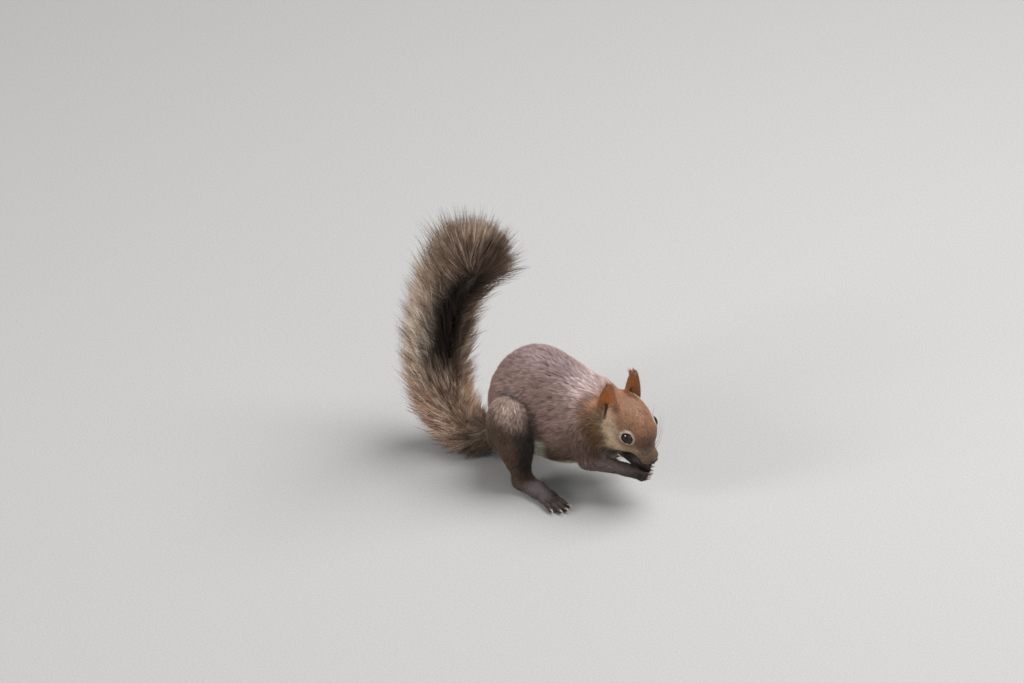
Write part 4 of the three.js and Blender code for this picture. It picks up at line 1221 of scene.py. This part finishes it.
shade, shader = material("eye_dark", {"Roughness": 0.04, "Specular IOR Level": 0.34})
iris = shade.mark("from_pupil").step(0.30, 0.36) * (1 - shade.mark("from_pupil").step(0.62, 0.72))
fibres = shade.noise(2600, 2).step(0.3, 0.8)
brown = shade.blend((0.008, 0.005, 0.003), (0.020, 0.010, 0.005), fibres)
feed(shader, Base_Color=shade.blend((0.004, 0.003, 0.003), brown, iris))
for name, side in SIDES.items():
    v = np.linspace(0, math.pi, EYE_ROWS + 1)[1:-1, None]
    u = np.linspace(0, 2 * math.pi, EYE_TURNS, endpoint=False)[None]
    swell = EYE_RADIUS + EYE_BULGE * np.exp(-((v / 0.75) ** 2))
    ways = np.stack([np.sin(v) * np.cos(u), np.sin(v) * np.sin(u), np.cos(v) + 0 * u], axis=-1)
    ball = (swell[..., None] * ways).reshape(-1, 3)
    ball = np.vstack([ball, (0, 0, EYE_RADIUS + EYE_BULGE), (0, 0, -EYE_RADIUS)])
    axes = np.stack([mirrored(way, side) for way in (eye_long, eye_high, eye_out)])
    places = on_head(mirrored(EYE_AT, side))[None] + (ball @ axes) @ head_turn.T
    grid = np.arange((EYE_ROWS - 1) * EYE_TURNS).reshape(EYE_ROWS - 1, EYE_TURNS)
    after = np.roll(grid, -1, axis=1)
    quads = np.stack([grid[:-1], grid[1:], after[1:], after[:-1]], axis=-1).reshape(-1, 4)
    front, back = np.full(EYE_TURNS, grid.size), np.full(EYE_TURNS, grid.size + 1)
    faces = np.vstack([
        quads[:, [0, 1, 2]], quads[:, [0, 2, 3]],
        np.stack([front, grid[0], after[0]], axis=1), np.stack([back, after[-1], grid[-1]], axis=1),
    ])
    if np.linalg.det(axes) < 0:
        faces = faces[:, ::-1]
    eye = mesh_object(f"eye_ball_{name}", to_frame(places), faces, bpy.data.materials["eye_dark"])
    from_pupil = np.arccos(np.clip(ball[:, 2] / np.linalg.norm(ball, axis=1), -1, 1))
    add_marks(eye, {"from_pupil": from_pupil})
    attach(eye, "root")
    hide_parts(f"eye_{name}")

# ---- Nose -------------------------------------------------------------------------------------
# The bare tip of the nose: a small soft pad with a comma-shaped nostril on each side and a
# groove down its middle, set into the end of the muzzle.
NOSE_HALF = (1.8, 2.1, 1.55)


def nose_pad_at(x, y, z):
    x, y, z = into(head_turn, HEAD_AT, x, y, z)
    pad = egg(NOSE_AT, NOSE_HALF)(x, y, z)
    for side in SIDES.values():
        wing = egg((NOSE_AT[0], side * 1.5, NOSE_AT[2] - 0.4), (1.35, 1.15, 1.1))(x, y, z)
        pad = melt(0.9, pad, wing)
    for side in SIDES.values():
        hole = bone((28.2, side * 1.1, -11.0), 0.38, (27.4, side * 2.5, -10.6), 0.24)(x, y, z)
        pad = carve(0.35, pad, hole)
    return carve(0.4, pad, bone((29.1, 0, -10.2), 0.2, (27.7, 0, -12.9), 0.22)(x, y, z))


low, high = on_head(NOSE_AT) - 4.2, on_head(NOSE_AT) + 4.2
points, triangles = net(nose_pad_at, low, high, 0.2)
points = settle(points, nose_pad_at, 0.08, 2)
shade, shader = material("nose_leather", {"Roughness": 0.5, "Specular IOR Level": 0.2})
pebbles = shade.node("ShaderNodeTexVoronoi", {}, {"Scale": 2600})
feed(shader, Base_Color=shade.blend((0.062, 0.042, 0.036), (0.032, 0.021, 0.018), pebbles))
feed(shader, Normal=shade.node(
    "ShaderNodeBump", {}, {"Strength": 0.35, "Distance": 0.0002, "Height": pebbles}))
nose = mesh_object("nose_pad", to_frame(points), triangles, bpy.data.materials["nose_leather"])
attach(nose, "root")
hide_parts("nose")

# ---- Whiskers ---------------------------------------------------------------------------------
# Stiff dark bristles in rows on each side of the muzzle, two over each eye, each a tapered rod
# that bends back.
WHISKER_HALF = 0.085  # its half breadth at the root, in millimetres
LONGEST, SHORTEST, BROW_LENGTH = 27, 19, 12  # millimetres long

shade, shader = material("whisker", {"Roughness": 0.35, "Specular IOR Level": 0.5})
feed(shader, Base_Color=shade.blend((0.012, 0.009, 0.008), (0.05, 0.036, 0.028), shade.mark("along")))


def rod(path, radii, corners):
    """(points, triangles) of a closed tapered rod along a path, with so many corners round it."""
    ways = unit(np.gradient(path, axis=0))
    first = laid(np.broadcast_to((0.31, 0.27, 0.91), ways.shape), ways)
    second = np.cross(ways, first)
    angles = np.arange(corners) * 2 * math.pi / corners
    ring = first[:, None] * np.cos(angles)[:, None] + second[:, None] * np.sin(angles)[:, None]
    rings = path[:, None] + ring * np.array(radii)[:, None, None]
    places = np.vstack([rings.reshape(-1, 3), path[:1], path[-1:]])
    grid = np.arange(len(path) * corners).reshape(len(path), corners)
    after = np.roll(grid, -1, axis=1)
    start, end = np.full(corners, grid.size), np.full(corners, grid.size + 1)
    faces = np.vstack([
        np.stack([grid[:-1], after[:-1], after[1:]], -1).reshape(-1, 3),
        np.stack([grid[:-1], after[1:], grid[1:]], -1).reshape(-1, 3),
        np.stack([start, after[0], grid[0]], axis=1), np.stack([end, grid[-1], after[-1]], axis=1),
    ])
    return places, faces


def joined(shapes):
    """Several (points, triangles) as one."""
    starts = np.cumsum([0] + [len(places) for places, _ in shapes[:-1]])
    return np.vstack([p for p, _ in shapes]), np.vstack([f + s for (_, f), s in zip(shapes, starts)])


for name, side in SIDES.items():
    draw = np.random.default_rng(300 + side)
    shapes, along = [], []
    starts = [
        (18 + 2.2 * column, 5.0 - 0.75 * column, -8.2 - 1.5 * row - 0.2 * column)
        for row in range(3) for column in range(3)
    ]
    ways = [(-0.15 - 0.2 * row, 1, 0.30 - 0.35 * row) for row in range(3) for _ in range(3)]
    for (start, way) in zip(starts + [(9.5, 6.4, 8.2), (8.2, 6.9, 8.0)], ways + [(0, 0.8, 0.7)] * 2):
        length = draw.uniform(SHORTEST, LONGEST) if start[0] > 12 else BROW_LENGTH
        way = unit(np.array(way) + draw.normal(size=3) * 0.07)
        steps = np.linspace(0, 1, 12)[:, None]
        bend = np.array([-0.38, -0.05, -0.16]) * length * steps**2
        path = np.array(start) - way * 1.2 + way * length * steps + bend
        radii = WHISKER_HALF * (1 - 0.85 * steps[:, 0])
        shapes.append(rod((path * (1, side, 1)) @ head_turn.T + HEAD_AT, radii, 5))
        along += [np.repeat(steps[:, 0], 5), [0, 1]]
    points, faces = joined(shapes)
    whiskers = mesh_object(f"whiskers_{name}", to_frame(points), faces, bpy.data.materials["whisker"])
    add_marks(whiskers, {"along": np.concatenate(along)})
    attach(whiskers, "root")

# ---- Claws ------------------------------------------------------------------------------------
# Curved horn spikes that taper to a point, dark where they leave the toe and pale towards
# the point. Those of the hind feet are longer and thicker.
shade, shader = material("claw_horn", {"Roughness": 0.3, "Specular IOR Level": 0.5})
along = shade.mark("along")
grain = shade.noise(1800, 2, (1, 1, 0.2)).step(0.3, 0.8)
paling = shade.blend((0.06, 0.042, 0.034), (0.30, 0.25, 0.205), along.step(0.05, 0.6))
feed(shader, Base_Color=shade.blend(paling, (0.16, 0.12, 0.095), grain * 0.45))
horn = bpy.data.materials["claw_horn"]
CLAW_HALF = {"foot": 0.989, "hand": 0.731}  # half breadth where they leave the skin
for part, bones in (("foot", foot_bones), ("hand", hand_bones)):
    for name, side in SIDES.items():
        shapes, along = [], []
        rows = [row[1] for row in bones(side if part == "foot" else name)]
        for first, middle, last in rows:
            t = np.linspace(0, 1, 13)[:, None]
            bend = 2 * middle - (first + last) / 2
            path = (1 - t) ** 2 * first + 2 * t * (1 - t) * bend + t**2 * last
            radii = CLAW_HALF[part] * (0.92 - 0.86 * t[:, 0] ** 1.2)
            shapes.append(rod(path, radii, 10))
            along += [np.repeat(t[:, 0], 10), [0, 1]]
        points, faces = joined(shapes)
        points[:, 2] = np.maximum(points[:, 2], 0.1)
        claws = mesh_object(f"claws_{part}_{name}", to_frame(points), faces, horn)
        add_marks(claws, {"along": np.concatenate(along)})
        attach(claws, "root")
        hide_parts(*(f"claw_{part}_{name}_{i + 1}" for i in range(len(rows))))
